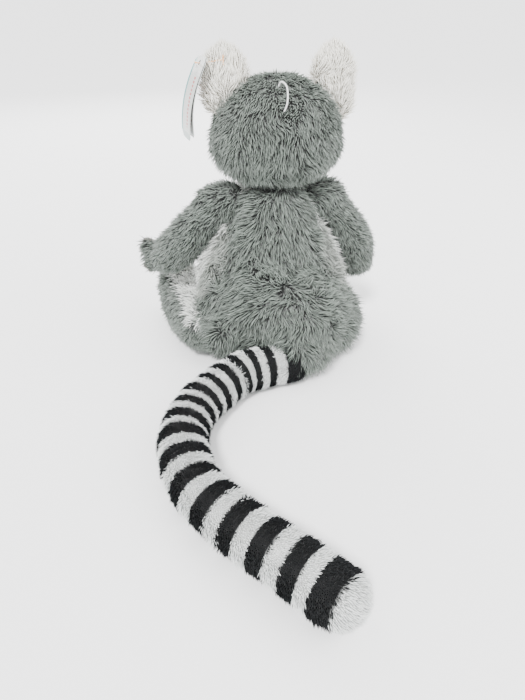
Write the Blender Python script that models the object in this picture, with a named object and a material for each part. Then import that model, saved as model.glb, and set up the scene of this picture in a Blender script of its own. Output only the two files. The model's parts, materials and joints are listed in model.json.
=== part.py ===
"""Seated ring-tailed lemur plush toy, built from the cloth panels, stuffing and hardware it is sewn from.

The toy sits on its rump facing -Y, with its left side on +X and its long striped tail lying on the
surface behind it.  The origin is the middle of the flat seat panel, on the surface.  Metres, +Z up.

Every stuffed body is a sewn skin round a stuffing.  A limb starts in a ball that sits in a round
recess of the body it is sewn to, and each tail length ends in a ball that sits in the cup of the next
one, so every joint turns about the middle of its ball and keeps the same clearance all the way.
"""

import math

import bmesh
import bpy
from mathutils import Matrix, Vector

# ---------------------------------------------------------------- cloth and clearances

WALL = 0.0022          # sewn skin, backing cloth and the dense foot of the pile
GAP = 0.0004           # clearance between pieces that touch
BALL_GAP = 0.0010      # clearance round a ball in its cup or recess
FILL_ROOM = 0.0012     # between a limb's skin and its stuffing
TORSO_ROOM = 0.0026    # between the torso's skin and its stuffing
SEAM_SLIT = math.radians(0.35)   # half of the slit that a seam between two panels keeps open
SIDES = 14             # corners of a limb's cross-section
STEP = 0.02            # how far apart the two points of a tangent are, in rows of a table

UP = Vector((0, 0, 1))
BACK = Vector((0, 1, 0))

# ---------------------------------------------------------------- torso

# height, half width, depth to the belly, depth to the back
TORSO_ROWS = (
    (0.000, 0.072, 0.056, 0.068),
    (0.012, 0.084, 0.067, 0.077),
    (0.032, 0.090, 0.074, 0.081),
    (0.060, 0.090, 0.077, 0.080),
    (0.090, 0.084, 0.075, 0.073),
    (0.118, 0.0718, 0.068, 0.063),
    (0.145, 0.0560, 0.056, 0.053),
    (0.170, 0.0430, 0.043, 0.044),
    (0.190, 0.0330, 0.032, 0.034),
)
TORSO_FULLNESS = 0.88                    # below 1 makes the cross-section squarer than an ellipse
TORSO_TURNS = 32                         # corners of a whole ring round the torso
TORSO_LEVELS = 9                         # rings from the seat to the neck
SIDE_SEAM = math.radians(74)             # half of the back panel's sweep, from straight behind
SEAT_THICK = 0.0028
BEAN_BAG_TOP = 0.026

# ---------------------------------------------------------------- neck and head

HEAD_SHIFT = -0.005                      # the head sits a little to the right of the seat's middle
NECK = Vector((HEAD_SHIFT, -0.002, 0.196))
NECK_BALL = 0.021

HEAD = Vector((HEAD_SHIFT, -0.002, 0.2450))
HEAD_HALF = Vector((0.0655, 0.058, 0.0520))
HEAD_JOWL = 0.26                         # how much wider than an ellipsoid the head is at its foot
HEAD_POLE = math.radians(7)              # how far the last ring stands off the front and back poles
HEAD_RINGS = 9
HEAD_SEAM = math.radians(104)            # from straight behind, where the face panel starts
HEAD_SIDES = 20
HEAD_FULLNESS = 0.86                     # below 1 makes the head squarer than an ellipsoid

MUZZLE_BASE = Vector((HEAD_SHIFT, -0.045, 0.2330))
MUZZLE_TIP = Vector((HEAD_SHIFT, -0.086, 0.2270))
MUZZLE_BASE_RADIUS = 0.024
MUZZLE_TIP_RADIUS = 0.0155
MUZZLE_CAP = 0.007

NOSE_HALF = Vector((0.0085, 0.0055, 0.0062))
NOSE_OFFSET = Vector((0, 0.0005, 0.0035))    # from the muzzle's tip
POST_RADIUS = 0.0022
POST_SIDES = 8
WASHER_SIDES = 14
SHANK_BITE = 0.0045                      # how far a shank runs up into the eye or nose it is moulded on
SHANK_ROOM = 0.0020                      # hole left past a shank's end
WASHER_RADIUS = 0.0075
WASHER_THICK = 0.0018

EYE_OFFSET = Vector((0.0255, 0, 0.269))  # beside the middle, and its height
EYE_RADIUS = 0.0078
EYE_SINK = 0.0022                        # how deep the flat back of the eye is in the ball it is cut from
PATCH_HALF = (0.0130, 0.0140)            # dark cloth round the eye, half width and half height
PATCH_THICK = 0.0012
PATCH_DROP = 0.001                       # the patch's middle lies this far below the eye's
PATCH_CUTTER_FRONT = 0.03                # how far the patch's outline runs before the face
PATCH_CUTTER_DEPTH = 0.05                # and its whole depth

NOSE_SHANK = 0.016                       # shank lengths, from the nose's or eye's own place
EYE_SHANK = 0.013
NOSE_WASHER_DEPTH = 0.0115               # how far in the washers sit on the shanks
EYE_WASHER_DEPTH = 0.0085
WASHER_POCKET = 0.0032                   # length of the pocket in the stuffing that a washer sits in
BORE_OVERRUN = 0.003                     # how far a cutter runs past the faces it cuts

# ---------------------------------------------------------------- ears and hang tag

EAR_DEPTH = -0.009
EAR_HEIGHT = 0.2865
EAR_ASIDE = {"left": 0.0485, "right": 0.0560}        # from the head's middle line
EAR_HALF = Vector((0.0225, 0.0075, 0.0360))
EAR_LEAN = math.radians(6)
EAR_ROOM = 0.0030                        # between the ear's foot and the head
EAR_HINGE_LOW = Vector((0.0140, -0.009, 0.2620))     # from the middle of the ear
EAR_HINGE_HIGH = Vector((-0.0140, -0.009, 0.2930))

TAG_TOP = Vector((0.0648, -0.0060, 0.3110))
TAG_DROP = 0.074                         # along the card
TAG_WIDTH = 0.034
TAG_THICK = 0.0013
TAG_BOW = 0.0065                         # how far the card's middle stands out from its ends
TAG_LEAN = math.radians(16)              # its foot stands further out than its top
TAG_TURN = math.radians(10)
TAG_STEPS = 10
TAG_HOLE = 0.0030
TAG_HOLE_DROP = 0.0055
FASTENER_RADIUS = 0.00045
FASTENER_START = Vector((0.0470, 0.0010, 0.3085))    # middle of the bar behind the ear
FASTENER_BENDS = ((0.0515, 0.0005, 0.3082), (0.0580, -0.0020, 0.3070))
FASTENER_OUTSIDE = Vector((0.0045, 0.0, 0.0006))     # from the card's hole to the outer bar
FASTENER_BARS = (0.0042, 0.0040)                     # half lengths of the inner and the outer bar
FASTENER_SLOT_START = Vector((-0.012, 0.0016, 0.0010))   # from the inner bar
FASTENER_SLOT_END = Vector((0.0760, -0.0085, 0.3045))
FASTENER_SLOT_RADIUS = 0.0024

# ---------------------------------------------------------------- hanging loop

LOOP_RADIUS = 0.00075
LOOP_ROUTE = (                           # from the head's middle line
    (0.0056, 0.0335, 0.2900), (0.0052, 0.0352, 0.2922), (0.0046, 0.0380, 0.2940),
    (0.0032, 0.0414, 0.2942), (0.0017, 0.0446, 0.2928), (0.0008, 0.0480, 0.2901),
    (0.0008, 0.0510, 0.2864), (0.0012, 0.0530, 0.2822), (0.0018, 0.0536, 0.2783),
    (0.0026, 0.0528, 0.2750), (0.0036, 0.0512, 0.2720),
)
LOOP_STEPS = 2                           # drawn points for each step of the route

# ---------------------------------------------------------------- arms: x, y, z, half across, half upright

LEFT_ARM_ROWS = (
    (0.0640, -0.002, 0.1680, 0.0175, 0.0175),
    (0.0798, -0.006, 0.1490, 0.0205, 0.0205),
    (0.0992, -0.015, 0.1240, 0.0225, 0.0225),
    (0.1150, -0.031, 0.1045, 0.0215, 0.0215),
    (0.1275, -0.044, 0.0975, 0.0205, 0.0165),
)
RIGHT_ARM_ROWS = (
    (-0.0640, -0.002, 0.1680, 0.0175, 0.0175),
    (-0.0800, -0.004, 0.1475, 0.0205, 0.0205),
    (-0.0980, -0.009, 0.1200, 0.0225, 0.0225),
    (-0.1090, -0.019, 0.0945, 0.0215, 0.0215),
    (-0.1155, -0.031, 0.0740, 0.0200, 0.0160),
)
ARM_CAP = 0.012
ARM_REACH = 0.05                         # half size of the boxes that part the palm from the sleeve
PALM_START_ROW = 3.2                     # the palm cloth starts here along the arm, in rows
PALM_DEPTH = 0.001                       # the palm's seam lies this far in front of the arm's middle

# ---------------------------------------------------------------- legs

LEFT_LEG_ROWS = (
    (0.0850, 0.029, 0.0345, 0.0250, 0.0250),
    (0.0910, -0.002, 0.0330, 0.0315, 0.0315),
    (0.0985, -0.040, 0.0330, 0.0320, 0.0320),
    (0.1045, -0.072, 0.0350, 0.0290, 0.0340),
    (0.1075, -0.088, 0.0385, 0.0290, 0.0375),
)
RIGHT_LEG_ROWS = (
    (-0.0745, 0.037, 0.0345, 0.0250, 0.0250),
    (-0.0750, 0.006, 0.0330, 0.0315, 0.0315),
    (-0.0760, -0.034, 0.0330, 0.0320, 0.0320),
    (-0.0790, -0.067, 0.0350, 0.0290, 0.0340),
    (-0.0805, -0.083, 0.0385, 0.0290, 0.0375),
)
LEG_CAP = 0.011
LEG_REACH = 0.06                         # half size of the boxes that part the sole from the sleeve
SOLE_OFFSET = 0.0015                     # the sole's seam lies this far past the last row
LIMB_ROWS = {"left": (LEFT_ARM_ROWS, LEFT_LEG_ROWS), "right": (RIGHT_ARM_ROWS, RIGHT_LEG_ROWS)}
THIGH_ROOM = 0.0020                      # between a thigh and the channel pressed into the torso
CHANNEL_RADIUS = 0.0385                  # round the hip
CHANNEL_FRONT = (-0.090, 0.112)          # y and z of the channel's upper front corner
CHANNEL_FAR = 0.16                       # how far out the channel's cutter runs

# ---------------------------------------------------------------- tail

TAIL_RADIUS = 0.0222
TAIL_HEIGHT = 0.0226
TAIL_ROUTE = (
    (-0.0080, 0.0960), (0.0200, 0.0990), (0.0530, 0.1090), (0.0830, 0.1330), (0.1060, 0.1620),
    (0.1190, 0.2010), (0.1100, 0.2550), (0.0790, 0.3010), (0.0430, 0.3420), (0.0180, 0.3710),
)
TAIL_JOINTS = (0.0, 1.15, 3.25, 4.75, 6.20, 7.55)   # where each length starts, in rows of the route
TAIL_END = 8.78
TAIL_TIP_CAP = 0.021
TAIL_RINGS = 2.4                         # rings for each row of the route

# ---------------------------------------------------------------- colours

GREY_FUR = (0.235, 0.262, 0.238)
WHITE_FUR = (0.680, 0.700, 0.670)
BLACK_FUR = (0.012, 0.014, 0.015)
STRIPED_FUR = (0.350, 0.360, 0.350)
TAUPE_VELOUR = (0.300, 0.280, 0.255)
GREY_CLOTH = (0.200, 0.220, 0.205)
STUFFING = (0.860, 0.860, 0.840)
BAG_CLOTH = (0.780, 0.760, 0.700)
DARK_FELT = (0.030, 0.030, 0.032)
AMBER = (0.420, 0.170, 0.030)
BLACK_PLASTIC = (0.010, 0.010, 0.011)
WHITE_PLASTIC = (0.750, 0.750, 0.730)
WHITE_NYLON = (0.850, 0.860, 0.850)
ORANGE_PLASTIC = (0.800, 0.520, 0.300)
CARD = (0.720, 0.740, 0.730)


# ================================================================ small tools


def clear_scene():
    for old in list(bpy.data.objects):
        bpy.data.objects.remove(old, do_unlink=True)


def make_material(name, colour, roughness, metallic=0.0):
    material = bpy.data.materials.new(name)
    material.use_nodes = True
    shader = material.node_tree.nodes["Principled BSDF"]
    shader.inputs["Base Color"].default_value = (*colour, 1.0)
    shader.inputs["Roughness"].default_value = roughness
    shader.inputs["Metallic"].default_value = metallic
    material.diffuse_color = (*colour, 1.0)
    return material


def make_pivot(name, place, parent=None):
    pivot = bpy.data.objects.new(name, None)
    bpy.context.scene.collection.objects.link(pivot)
    base = Vector((0, 0, 0))
    if parent is not None:
        pivot.parent = parent
        base = world_place(parent)
    pivot.location = Vector(place) - base
    return pivot


def world_place(pivot):
    place = Vector(pivot.location)
    while pivot.parent is not None:
        pivot = pivot.parent
        place += Vector(pivot.location)
    return place


def make_object(name, bm, material, pivot, smooth=True):
    """Turn a bmesh in the toy's frame into an object whose origin is on its pivot."""
    bmesh.ops.recalc_face_normals(bm, faces=bm.faces)
    mesh = bpy.data.meshes.new(name)
    bm.to_mesh(mesh)
    bm.free()
    if smooth:
        mesh.shade_smooth()
        mesh.set_sharp_from_angle(angle=math.radians(50))
    thing = bpy.data.objects.new(name, mesh)
    bpy.context.scene.collection.objects.link(thing)
    if material is not None:
        mesh.materials.append(material)
    if pivot is not None:
        mesh.transform(Matrix.Translation(-world_place(pivot)))
        thing.parent = pivot
    return thing


def make_cutter(name, bm):
    cutter = make_object(name, bm, None, None, smooth=False)
    cutter.hide_render = True
    cutter.display_type = "WIRE"
    return cutter


def cut(thing, cutter, operation="DIFFERENCE"):
    modifier = thing.modifiers.new(cutter.name, "BOOLEAN")
    modifier.object = cutter
    modifier.operation = operation
    modifier.solver = "EXACT"


def spline(rows, where):
    """Catmull-Rom value of a table at a place counted in rows."""
    last = len(rows) - 1
    index = max(0, min(int(where), last - 1))
    f = where - index
    first = rows[max(index - 1, 0)]
    after = rows[min(index + 2, last)]
    values = []
    for p, q, r, s in zip(first, rows[index], rows[index + 1], after):
        bend = (2 * p - 5 * q + 4 * r - s) * f ** 2
        twist = (3 * q - p - 3 * r + s) * f ** 3
        values.append(0.5 * (2 * q + (r - p) * f + bend + twist))
    return values


def spread(start, end, count):
    return [start + (end - start) * i / (count - 1) for i in range(count)]


def ring(centre, across, upright, sides=SIDES):
    turns = [2 * math.pi * i / sides for i in range(sides)]
    return [centre + across * math.cos(a) + upright * math.sin(a) for a in turns]


def add_rings(bm, rings):
    """Join successive closed rings with quads and return their vertices."""
    made = [[bm.verts.new(point) for point in points] for points in rings]
    for low, high in zip(made, made[1:]):
        for i in range(len(low)):
            j = (i + 1) % len(low)
            bm.faces.new((low[i], low[j], high[j], high[i]))
    return made


def add_fan(bm, loop, point):
    tip = bm.verts.new(point)
    for i in range(len(loop)):
        bm.faces.new((loop[i], loop[(i + 1) % len(loop)], tip))


def add_bridge(bm, loop, other):
    for i in range(len(loop)):
        j = (i + 1) % len(loop)
        bm.faces.new((loop[i], loop[j], other[j], other[i]))


def middle(points):
    return sum(points, Vector((0, 0, 0))) / len(points)


def solid_mesh(rings, start=None, tip=None):
    """A closed solid through the rings, with a flat or pointed end at each end."""
    bm = bmesh.new()
    made = add_rings(bm, rings)
    add_fan(bm, made[0], middle(rings[0]) if start is None else start)
    add_fan(bm, made[-1], middle(rings[-1]) if tip is None else tip)
    return bm


def sock_mesh(outer, inner, outer_tip, inner_tip):
    """A skin that is open at its first ring and closed at its tip."""
    bm = bmesh.new()
    skin = add_rings(bm, outer)
    lining = add_rings(bm, inner)
    add_fan(bm, skin[-1], outer_tip)
    add_fan(bm, lining[-1], inner_tip)
    add_bridge(bm, skin[0], lining[0])
    return bm


def ellipsoid_mesh(centre, half, segments=16, rings=10, turn=None):
    bm = bmesh.new()
    bmesh.ops.create_uvsphere(bm, u_segments=segments, v_segments=rings, radius=1.0)
    shape = Matrix.Diagonal((*half, 1.0))
    if turn is not None:
        shape = turn.to_4x4() @ shape
    bmesh.ops.transform(bm, matrix=Matrix.Translation(centre) @ shape, verts=bm.verts)
    return bm


def sphere_mesh(centre, radius, segments=16, rings=10):
    return ellipsoid_mesh(centre, (radius, radius, radius), segments, rings)


def rod_mesh(start, end, radius, sides=POST_SIDES):
    along = (end - start).normalized()
    side = along.orthogonal().normalized() * radius
    other = along.cross(side.normalized()) * radius
    return solid_mesh([ring(start, side, other, sides), ring(end, side, other, sides)])


def tube_mesh(route, radius, sides=6):
    """A round wire through the points of a route."""
    points = [Vector(point) for point in route]
    side = (points[1] - points[0]).orthogonal().normalized()
    rings = []
    for index, point in enumerate(points):
        ahead = points[min(index + 1, len(points) - 1)]
        behind = points[max(index - 1, 0)]
        along = (ahead - behind).normalized()
        side = (side - along * side.dot(along)).normalized()
        rings.append(ring(point, side * radius, along.cross(side) * radius, sides))
    return solid_mesh(rings)


def box_mesh(low, high, frame=None):
    bm = bmesh.new()
    bmesh.ops.create_cube(bm, size=1.0)
    size = high - low
    place = Matrix.Translation((low + high) / 2) @ Matrix.Diagonal((*size, 1.0))
    if frame is not None:
        place = frame @ place
    bmesh.ops.transform(bm, matrix=place, verts=bm.verts)
    return bm


# ================================================================ stuffed limbs


class Limb:
    """A stuffed tube along a table of rows, with a ball at its root and a rounded tip."""

    def __init__(self, rows, reference, cap, start=0.0, end=None, steps=2, opening=34, ball=True):
        self.rows = rows
        self.reference = reference
        self.cap = cap
        self.start = start
        self.end = len(rows) - 1 if end is None else end
        self.steps = steps
        self.opening = math.radians(opening)
        self.ball = ball

    def frame(self, where):
        last = len(self.rows) - 1
        ahead = Vector(spline(self.rows, min(where + STEP, last))[:3])
        behind = Vector(spline(self.rows, max(where - STEP, 0))[:3])
        along = (ahead - behind).normalized()
        upright = (self.reference - along * self.reference.dot(along)).normalized()
        return along, along.cross(upright), upright

    def section(self, where, shrink, scale=1.0, push=0.0):
        """One ring, narrowed by scale and pushed along the limb."""
        *place, across_half, upright_half = spline(self.rows, where)
        along, across, upright = self.frame(where)
        centre = Vector(place) + along * push
        across_reach = (across_half - shrink) * scale
        upright_reach = (upright_half - shrink) * scale
        return ring(centre, across * across_reach, upright * upright_reach)

    def rings(self, shrink=0.0):
        made = []
        if self.ball:
            radius = self.rows[0][3] - shrink
            for polar in spread(self.opening, math.pi / 2, 4)[:-1]:
                made.append(self.section(self.start, shrink, math.sin(polar), -radius * math.cos(polar)))
        count = max(3, round((self.end - self.start) * self.steps) + 1)
        made += [self.section(where, shrink) for where in spread(self.start, self.end, count)]
        for polar in spread(0, math.pi / 2, 4)[1:-1]:
            push = (self.cap - shrink) * math.sin(polar)
            made.append(self.section(self.end, shrink, math.cos(polar), push))
        return made

    def tip(self, shrink=0.0):
        along = self.frame(self.end)[0]
        return Vector(spline(self.rows, self.end)[:3]) + along * (self.cap - shrink)

    def skin(self):
        return sock_mesh(self.rings(), self.rings(WALL), self.tip(), self.tip(WALL))

    def filling(self, shrink=WALL + FILL_ROOM):
        return solid_mesh(self.rings(shrink), tip=self.tip(shrink))

    def region(self, where, low, high):
        """A box in the limb's own directions: across, along and upright."""
        along, across, upright = self.frame(where)
        centre = Vector(spline(self.rows, where)[:3])
        turn = Matrix((across, along, upright)).transposed().to_4x4()
        return box_mesh(Vector(low), Vector(high), Matrix.Translation(centre) @ turn)


# ================================================================ torso


def torso_point(row, turn, shrink):
    """A point of the torso's skin; turn runs from 0 straight behind, left side first."""
    height, half_width, belly, back = spline(TORSO_ROWS, row)
    depth = back if math.cos(turn) > 0 else belly
    x = math.copysign(abs(math.sin(turn)) ** TORSO_FULLNESS, math.sin(turn)) * (half_width - shrink)
    y = math.copysign(abs(math.cos(turn)) ** TORSO_FULLNESS, math.cos(turn)) * (depth - shrink)
    return Vector((x, y, height))


def torso_ring(row, shrink):
    turns = [2 * math.pi * i / TORSO_TURNS for i in range(TORSO_TURNS)]
    return [torso_point(row, turn, shrink) for turn in turns]


def torso_panel(name, first_turn, last_turn, material, pivot):
    count = max(3, round((last_turn - first_turn) / (2 * math.pi) * TORSO_TURNS) + 1)
    rows = spread(torso_height_row(SEAT_THICK + GAP), len(TORSO_ROWS) - 1, TORSO_LEVELS)
    turns = spread(first_turn, last_turn, count)
    bm = bmesh.new()
    sheets = []
    for shrink in (0.0, WALL):
        grid = [[bm.verts.new(torso_point(row, turn, shrink)) for turn in turns] for row in rows]
        for low, high in zip(grid, grid[1:]):
            for i in range(count - 1):
                bm.faces.new((low[i], low[i + 1], high[i + 1], high[i]))
        sheets.append(grid)
    outer, inner = sheets
    for edge, lining in ((outer[0], inner[0]), (outer[-1], inner[-1])):
        for i in range(count - 1):
            bm.faces.new((edge[i], edge[i + 1], lining[i + 1], lining[i]))
    for side in (0, -1):
        for low, high in zip(range(TORSO_LEVELS - 1), range(1, TORSO_LEVELS)):
            bm.faces.new((outer[low][side], outer[high][side], inner[high][side], inner[low][side]))
    return make_object(name, bm, material, pivot)


def torso_height_row(height):
    """Where in the table the torso reaches a height."""
    low, high = 0.0, float(len(TORSO_ROWS) - 1)
    for _ in range(30):
        half = (low + high) / 2
        if spline(TORSO_ROWS, half)[0] < height:
            low = half
        else:
            high = half
    return low


def build_torso(materials, pivot):
    back_edge, belly_edge = SIDE_SEAM - SEAM_SLIT, SIDE_SEAM + SEAM_SLIT
    back = torso_panel("torso_back_panel", -back_edge, back_edge, materials["grey"], pivot)
    belly = torso_panel(
        "torso_belly_panel", belly_edge, 2 * math.pi - belly_edge, materials["white"], pivot
    )

    seat_rows = spread(0.0, torso_height_row(SEAT_THICK), 2)
    seat_rings = [torso_ring(row, 0.0) for row in seat_rows]
    seat = make_object("seat_base_panel", solid_mesh(seat_rings), materials["grey_cloth"], pivot)

    inset = WALL + TORSO_ROOM
    bag_rows = spread(torso_height_row(SEAT_THICK + GAP), torso_height_row(BEAN_BAG_TOP), 4)
    bag_rings = [torso_ring(row, inset) for row in bag_rows]
    bag = make_object("seat_bean_bag", solid_mesh(bag_rings), materials["bag"], pivot)

    fill_rows = spread(torso_height_row(BEAN_BAG_TOP + GAP), len(TORSO_ROWS) - 1, 10)
    fill_rings = [torso_ring(row, inset) for row in fill_rows]
    filling = make_object("torso_stuffing", solid_mesh(fill_rings), materials["stuffing"], pivot)
    return back, belly, seat, bag, filling


def thigh_channel(leg_rows):
    """The room a thigh takes in the torso's side while its leg is lifted and lowered."""
    hip = Vector(leg_rows[0][:3])
    facing = math.copysign(1.0, hip.x)
    inside = min(abs(x) - across for x, _, _, across, _ in leg_rows) - THIGH_ROOM
    outline = []
    for turn in spread(-0.5 * math.pi, 0.5 * math.pi, 9):
        outline.append((hip.y + CHANNEL_RADIUS * math.cos(turn), hip.z + CHANNEL_RADIUS * math.sin(turn)))
    outline.append(CHANNEL_FRONT)
    outline.append((CHANNEL_FRONT[0], hip.z - CHANNEL_RADIUS))
    near = [Vector((inside * facing, y, z)) for y, z in outline]
    far = [Vector((CHANNEL_FAR * facing, y, z)) for y, z in outline]
    return solid_mesh([near, far])


def carve_torso(back, belly, seat, bag, filling):
    """Round recesses where the neck, arms and tail are sewn on, and wells for the thighs."""
    neck_room = make_cutter("neck_room", sphere_mesh(NECK, NECK_BALL + BALL_GAP))
    tail_root = tail_length(0)
    tail_solid = solid_mesh(tail_root.rings(-BALL_GAP), tip=tail_root.tip(-BALL_GAP))
    tail_room = make_cutter("tail_room", tail_solid)
    for piece in (back, belly, filling):
        cut(piece, neck_room)
    for piece in (back, seat, bag, filling):
        cut(piece, tail_room)
    for side, (arm_rows, leg_rows) in LIMB_ROWS.items():
        shoulder = Vector(arm_rows[0][:3])
        arm_room = make_cutter(f"{side}_arm_room", sphere_mesh(shoulder, arm_rows[0][3] + BALL_GAP))
        channel = make_cutter(f"{side}_thigh_channel", thigh_channel(leg_rows))
        for piece in (back, belly, filling):
            cut(piece, arm_room)
        for piece in (back, belly, seat, bag, filling):
            cut(piece, channel)


# ================================================================ head


def head_rings(first, last, shrink):
    """Rings round the front-to-back line, from an angle off straight behind to another."""
    made = []
    for polar in spread(first, last, HEAD_RINGS):
        reach = max(math.sin(polar), 0.0) ** HEAD_FULLNESS
        centre = HEAD + BACK * ((HEAD_HALF.y - shrink) * math.cos(polar))
        across = Vector((HEAD_HALF.x - shrink, 0, 0)) * reach
        upright = Vector((0, 0, HEAD_HALF.z - shrink)) * reach
        points = ring(centre, across, upright, HEAD_SIDES)
        for point in points:
            low = max(0.0, HEAD.z - point.z) / HEAD_HALF.z
            point.x = HEAD.x + (point.x - HEAD.x) * (1 + HEAD_JOWL * low)
        made.append(points)
    return made


def head_solid(shrink):
    front = HEAD - BACK * (HEAD_HALF.y - shrink)
    rear = HEAD + BACK * (HEAD_HALF.y - shrink)
    return solid_mesh(head_rings(HEAD_POLE, math.pi - HEAD_POLE, shrink), rear, front)


def head_bowl(seam, pole, shrink):
    """Rings from the seam to a pole, so that the bowl's rim is its first ring."""
    facing = math.copysign(1.0, math.cos(pole))
    tip = HEAD + BACK * (HEAD_HALF.y - shrink) * facing
    stop = HEAD_POLE if pole < seam else math.pi - HEAD_POLE
    return head_rings(seam, stop, shrink), tip


def head_panel(name, seam, pole, material, pivot):
    outer, outer_tip = head_bowl(seam, pole, 0.0)
    inner, inner_tip = head_bowl(seam, pole, WALL)
    return make_object(name, sock_mesh(outer, inner, outer_tip, inner_tip), material, pivot)


def face_solid(shrink):
    """The front of the head as a solid, with the same corners as the face panel."""
    rings, tip = head_bowl(HEAD_SEAM + SEAM_SLIT, math.pi, shrink)
    return solid_mesh(rings, tip=tip)


def face_depth(x, z, shrink):
    """The y of the face's front surface at a place above the head's middle."""
    side = ((x - HEAD.x) / (HEAD_HALF.x - shrink)) ** 2 + ((z - HEAD.z) / (HEAD_HALF.z - shrink)) ** 2
    reach = min(side, 1.0) ** (0.5 / HEAD_FULLNESS)
    return HEAD.y - (HEAD_HALF.y - shrink) * math.sqrt(max(0.0, 1.0 - reach ** 2))


def build_muzzle(materials, pivot):
    along = (MUZZLE_TIP - MUZZLE_BASE).normalized()
    base_row = (*MUZZLE_BASE, MUZZLE_BASE_RADIUS, MUZZLE_BASE_RADIUS)
    halfway = MUZZLE_BASE.lerp(MUZZLE_TIP, 0.55)
    half_row = (*halfway, MUZZLE_BASE_RADIUS * 0.86, MUZZLE_BASE_RADIUS * 0.82)
    tip_row = (*MUZZLE_TIP, MUZZLE_TIP_RADIUS, MUZZLE_TIP_RADIUS)
    shape = Limb((base_row, half_row, tip_row), UP, MUZZLE_CAP, ball=False)
    panel = make_object("muzzle_panel", shape.skin(), materials["white"], pivot)
    filling = make_object("muzzle_stuffing", shape.filling(), materials["stuffing"], pivot)
    clear = make_cutter("face_room", face_solid(-GAP))
    cut(panel, clear)
    cut(filling, clear)

    nose_place = shape.tip() + NOSE_OFFSET
    nose_shape = ellipsoid_mesh(nose_place + along * (NOSE_HALF.y * 0.25), NOSE_HALF, 16, 8)
    nose = make_object("nose", nose_shape, materials["nose"], pivot)
    cut(nose, make_cutter("muzzle_room", solid_mesh(shape.rings(-GAP), tip=shape.tip(-GAP))))
    return nose_place, along, panel, filling, nose


def add_post(piece, start, end, radius):
    """Join a plastic shank to the piece it is moulded with."""
    cut(piece, make_cutter(f"{piece.name}_shank", rod_mesh(start, end, radius)), "UNION")


def washer(name, centre, along, material, pivot):
    """A push-on lock washer round a shank."""
    start = centre - along * (WASHER_THICK / 2)
    end = centre + along * (WASHER_THICK / 2)
    disc = make_object(name, rod_mesh(start, end, WASHER_RADIUS, WASHER_SIDES), material, pivot)
    overrun = along * BORE_OVERRUN
    bore = make_cutter(f"{name}_bore", rod_mesh(start - overrun, end + overrun, POST_RADIUS + GAP))
    cut(disc, bore)
    return disc


def washer_pocket(centre, along):
    """The room that a washer takes in the stuffing."""
    half = along * (WASHER_POCKET / 2)
    return rod_mesh(centre - half, centre + half, WASHER_RADIUS + GAP, WASHER_SIDES)


def build_face_hardware(materials, pivot, face, filling, muzzle):
    """Locked eyes and nose, their dark cloth patches, and the room that the shanks take."""
    nose_place, along, panel, muzzle_filling, nose = muzzle
    shank_end = nose_place - along * NOSE_SHANK
    add_post(nose, nose_place + along * SHANK_BITE, shank_end, POST_RADIUS)
    hole_ends = (nose_place + along * SHANK_BITE, shank_end - along * SHANK_ROOM)
    hole = make_cutter("nose_hole", rod_mesh(*hole_ends, POST_RADIUS + GAP))
    cut(panel, hole)
    cut(muzzle_filling, hole)
    washer_place = nose_place - along * NOSE_WASHER_DEPTH
    washer("nose_washer", washer_place, along, materials["washer"], pivot)
    cut(muzzle_filling, make_cutter("nose_washer_room", washer_pocket(washer_place, along)))

    for side, facing in (("left", 1.0), ("right", -1.0)):
        x = HEAD.x + EYE_OFFSET.x * facing
        z = EYE_OFFSET.z
        depth = face_depth(x, z, 0.0)
        patch_front = -GAP - PATCH_THICK
        patch = make_object(f"{side}_eye_patch", face_solid(patch_front), materials["dark_felt"], pivot)
        cut(patch, make_cutter(f"{side}_patch_lining", face_solid(-GAP)))
        outline_centre = Vector((x, depth - PATCH_CUTTER_FRONT, z - PATCH_DROP))
        outline = ring(outline_centre, Vector((PATCH_HALF[0], 0, 0)), Vector((0, 0, PATCH_HALF[1])), 24)
        outline_back = [point + BACK * PATCH_CUTTER_DEPTH for point in outline]
        cut(patch, make_cutter(f"{side}_patch_outline", solid_mesh([outline, outline_back])), "INTERSECT")

        place = Vector((x, depth, z))
        outward = Vector([(place[i] - HEAD[i]) / HEAD_HALF[i] ** 2 for i in range(3)]).normalized()
        centre = place - outward * (EYE_SINK - PATCH_THICK - GAP)
        eye = make_object(f"{side}_eye", sphere_mesh(centre, EYE_RADIUS, 16, 10), materials["eye"], pivot)
        cut(eye, make_cutter(f"{side}_eye_back", face_solid(patch_front - GAP)))
        end = place - outward * EYE_SHANK
        add_post(eye, centre + outward * SHANK_BITE, end, POST_RADIUS)
        hole_ends = (centre + outward * SHANK_BITE, end - outward * SHANK_ROOM)
        hole = make_cutter(f"{side}_eye_hole", rod_mesh(*hole_ends, POST_RADIUS + GAP))
        for piece in (face, filling, patch):
            cut(piece, hole)
        washer_place = place - outward * EYE_WASHER_DEPTH
        washer(f"{side}_eye_washer", washer_place, outward, materials["washer"], pivot)
        cut(filling, make_cutter(f"{side}_washer_room", washer_pocket(washer_place, outward)))


def build_head(materials, pivot):
    back = head_panel("head_back_panel", HEAD_SEAM - SEAM_SLIT, 0.0, materials["grey"], pivot)
    face = head_panel("face_panel", HEAD_SEAM + SEAM_SLIT, math.pi, materials["white"], pivot)
    filling = make_object("head_stuffing", head_solid(WALL + GAP), materials["stuffing"], pivot)
    neck_room = make_cutter("head_neck_room", sphere_mesh(NECK, NECK_BALL + BALL_GAP))
    for piece in (back, face, filling):
        cut(piece, neck_room)
    muzzle = build_muzzle(materials, pivot)
    build_face_hardware(materials, pivot, face, filling, muzzle)
    make_loop(materials, pivot)


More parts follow.
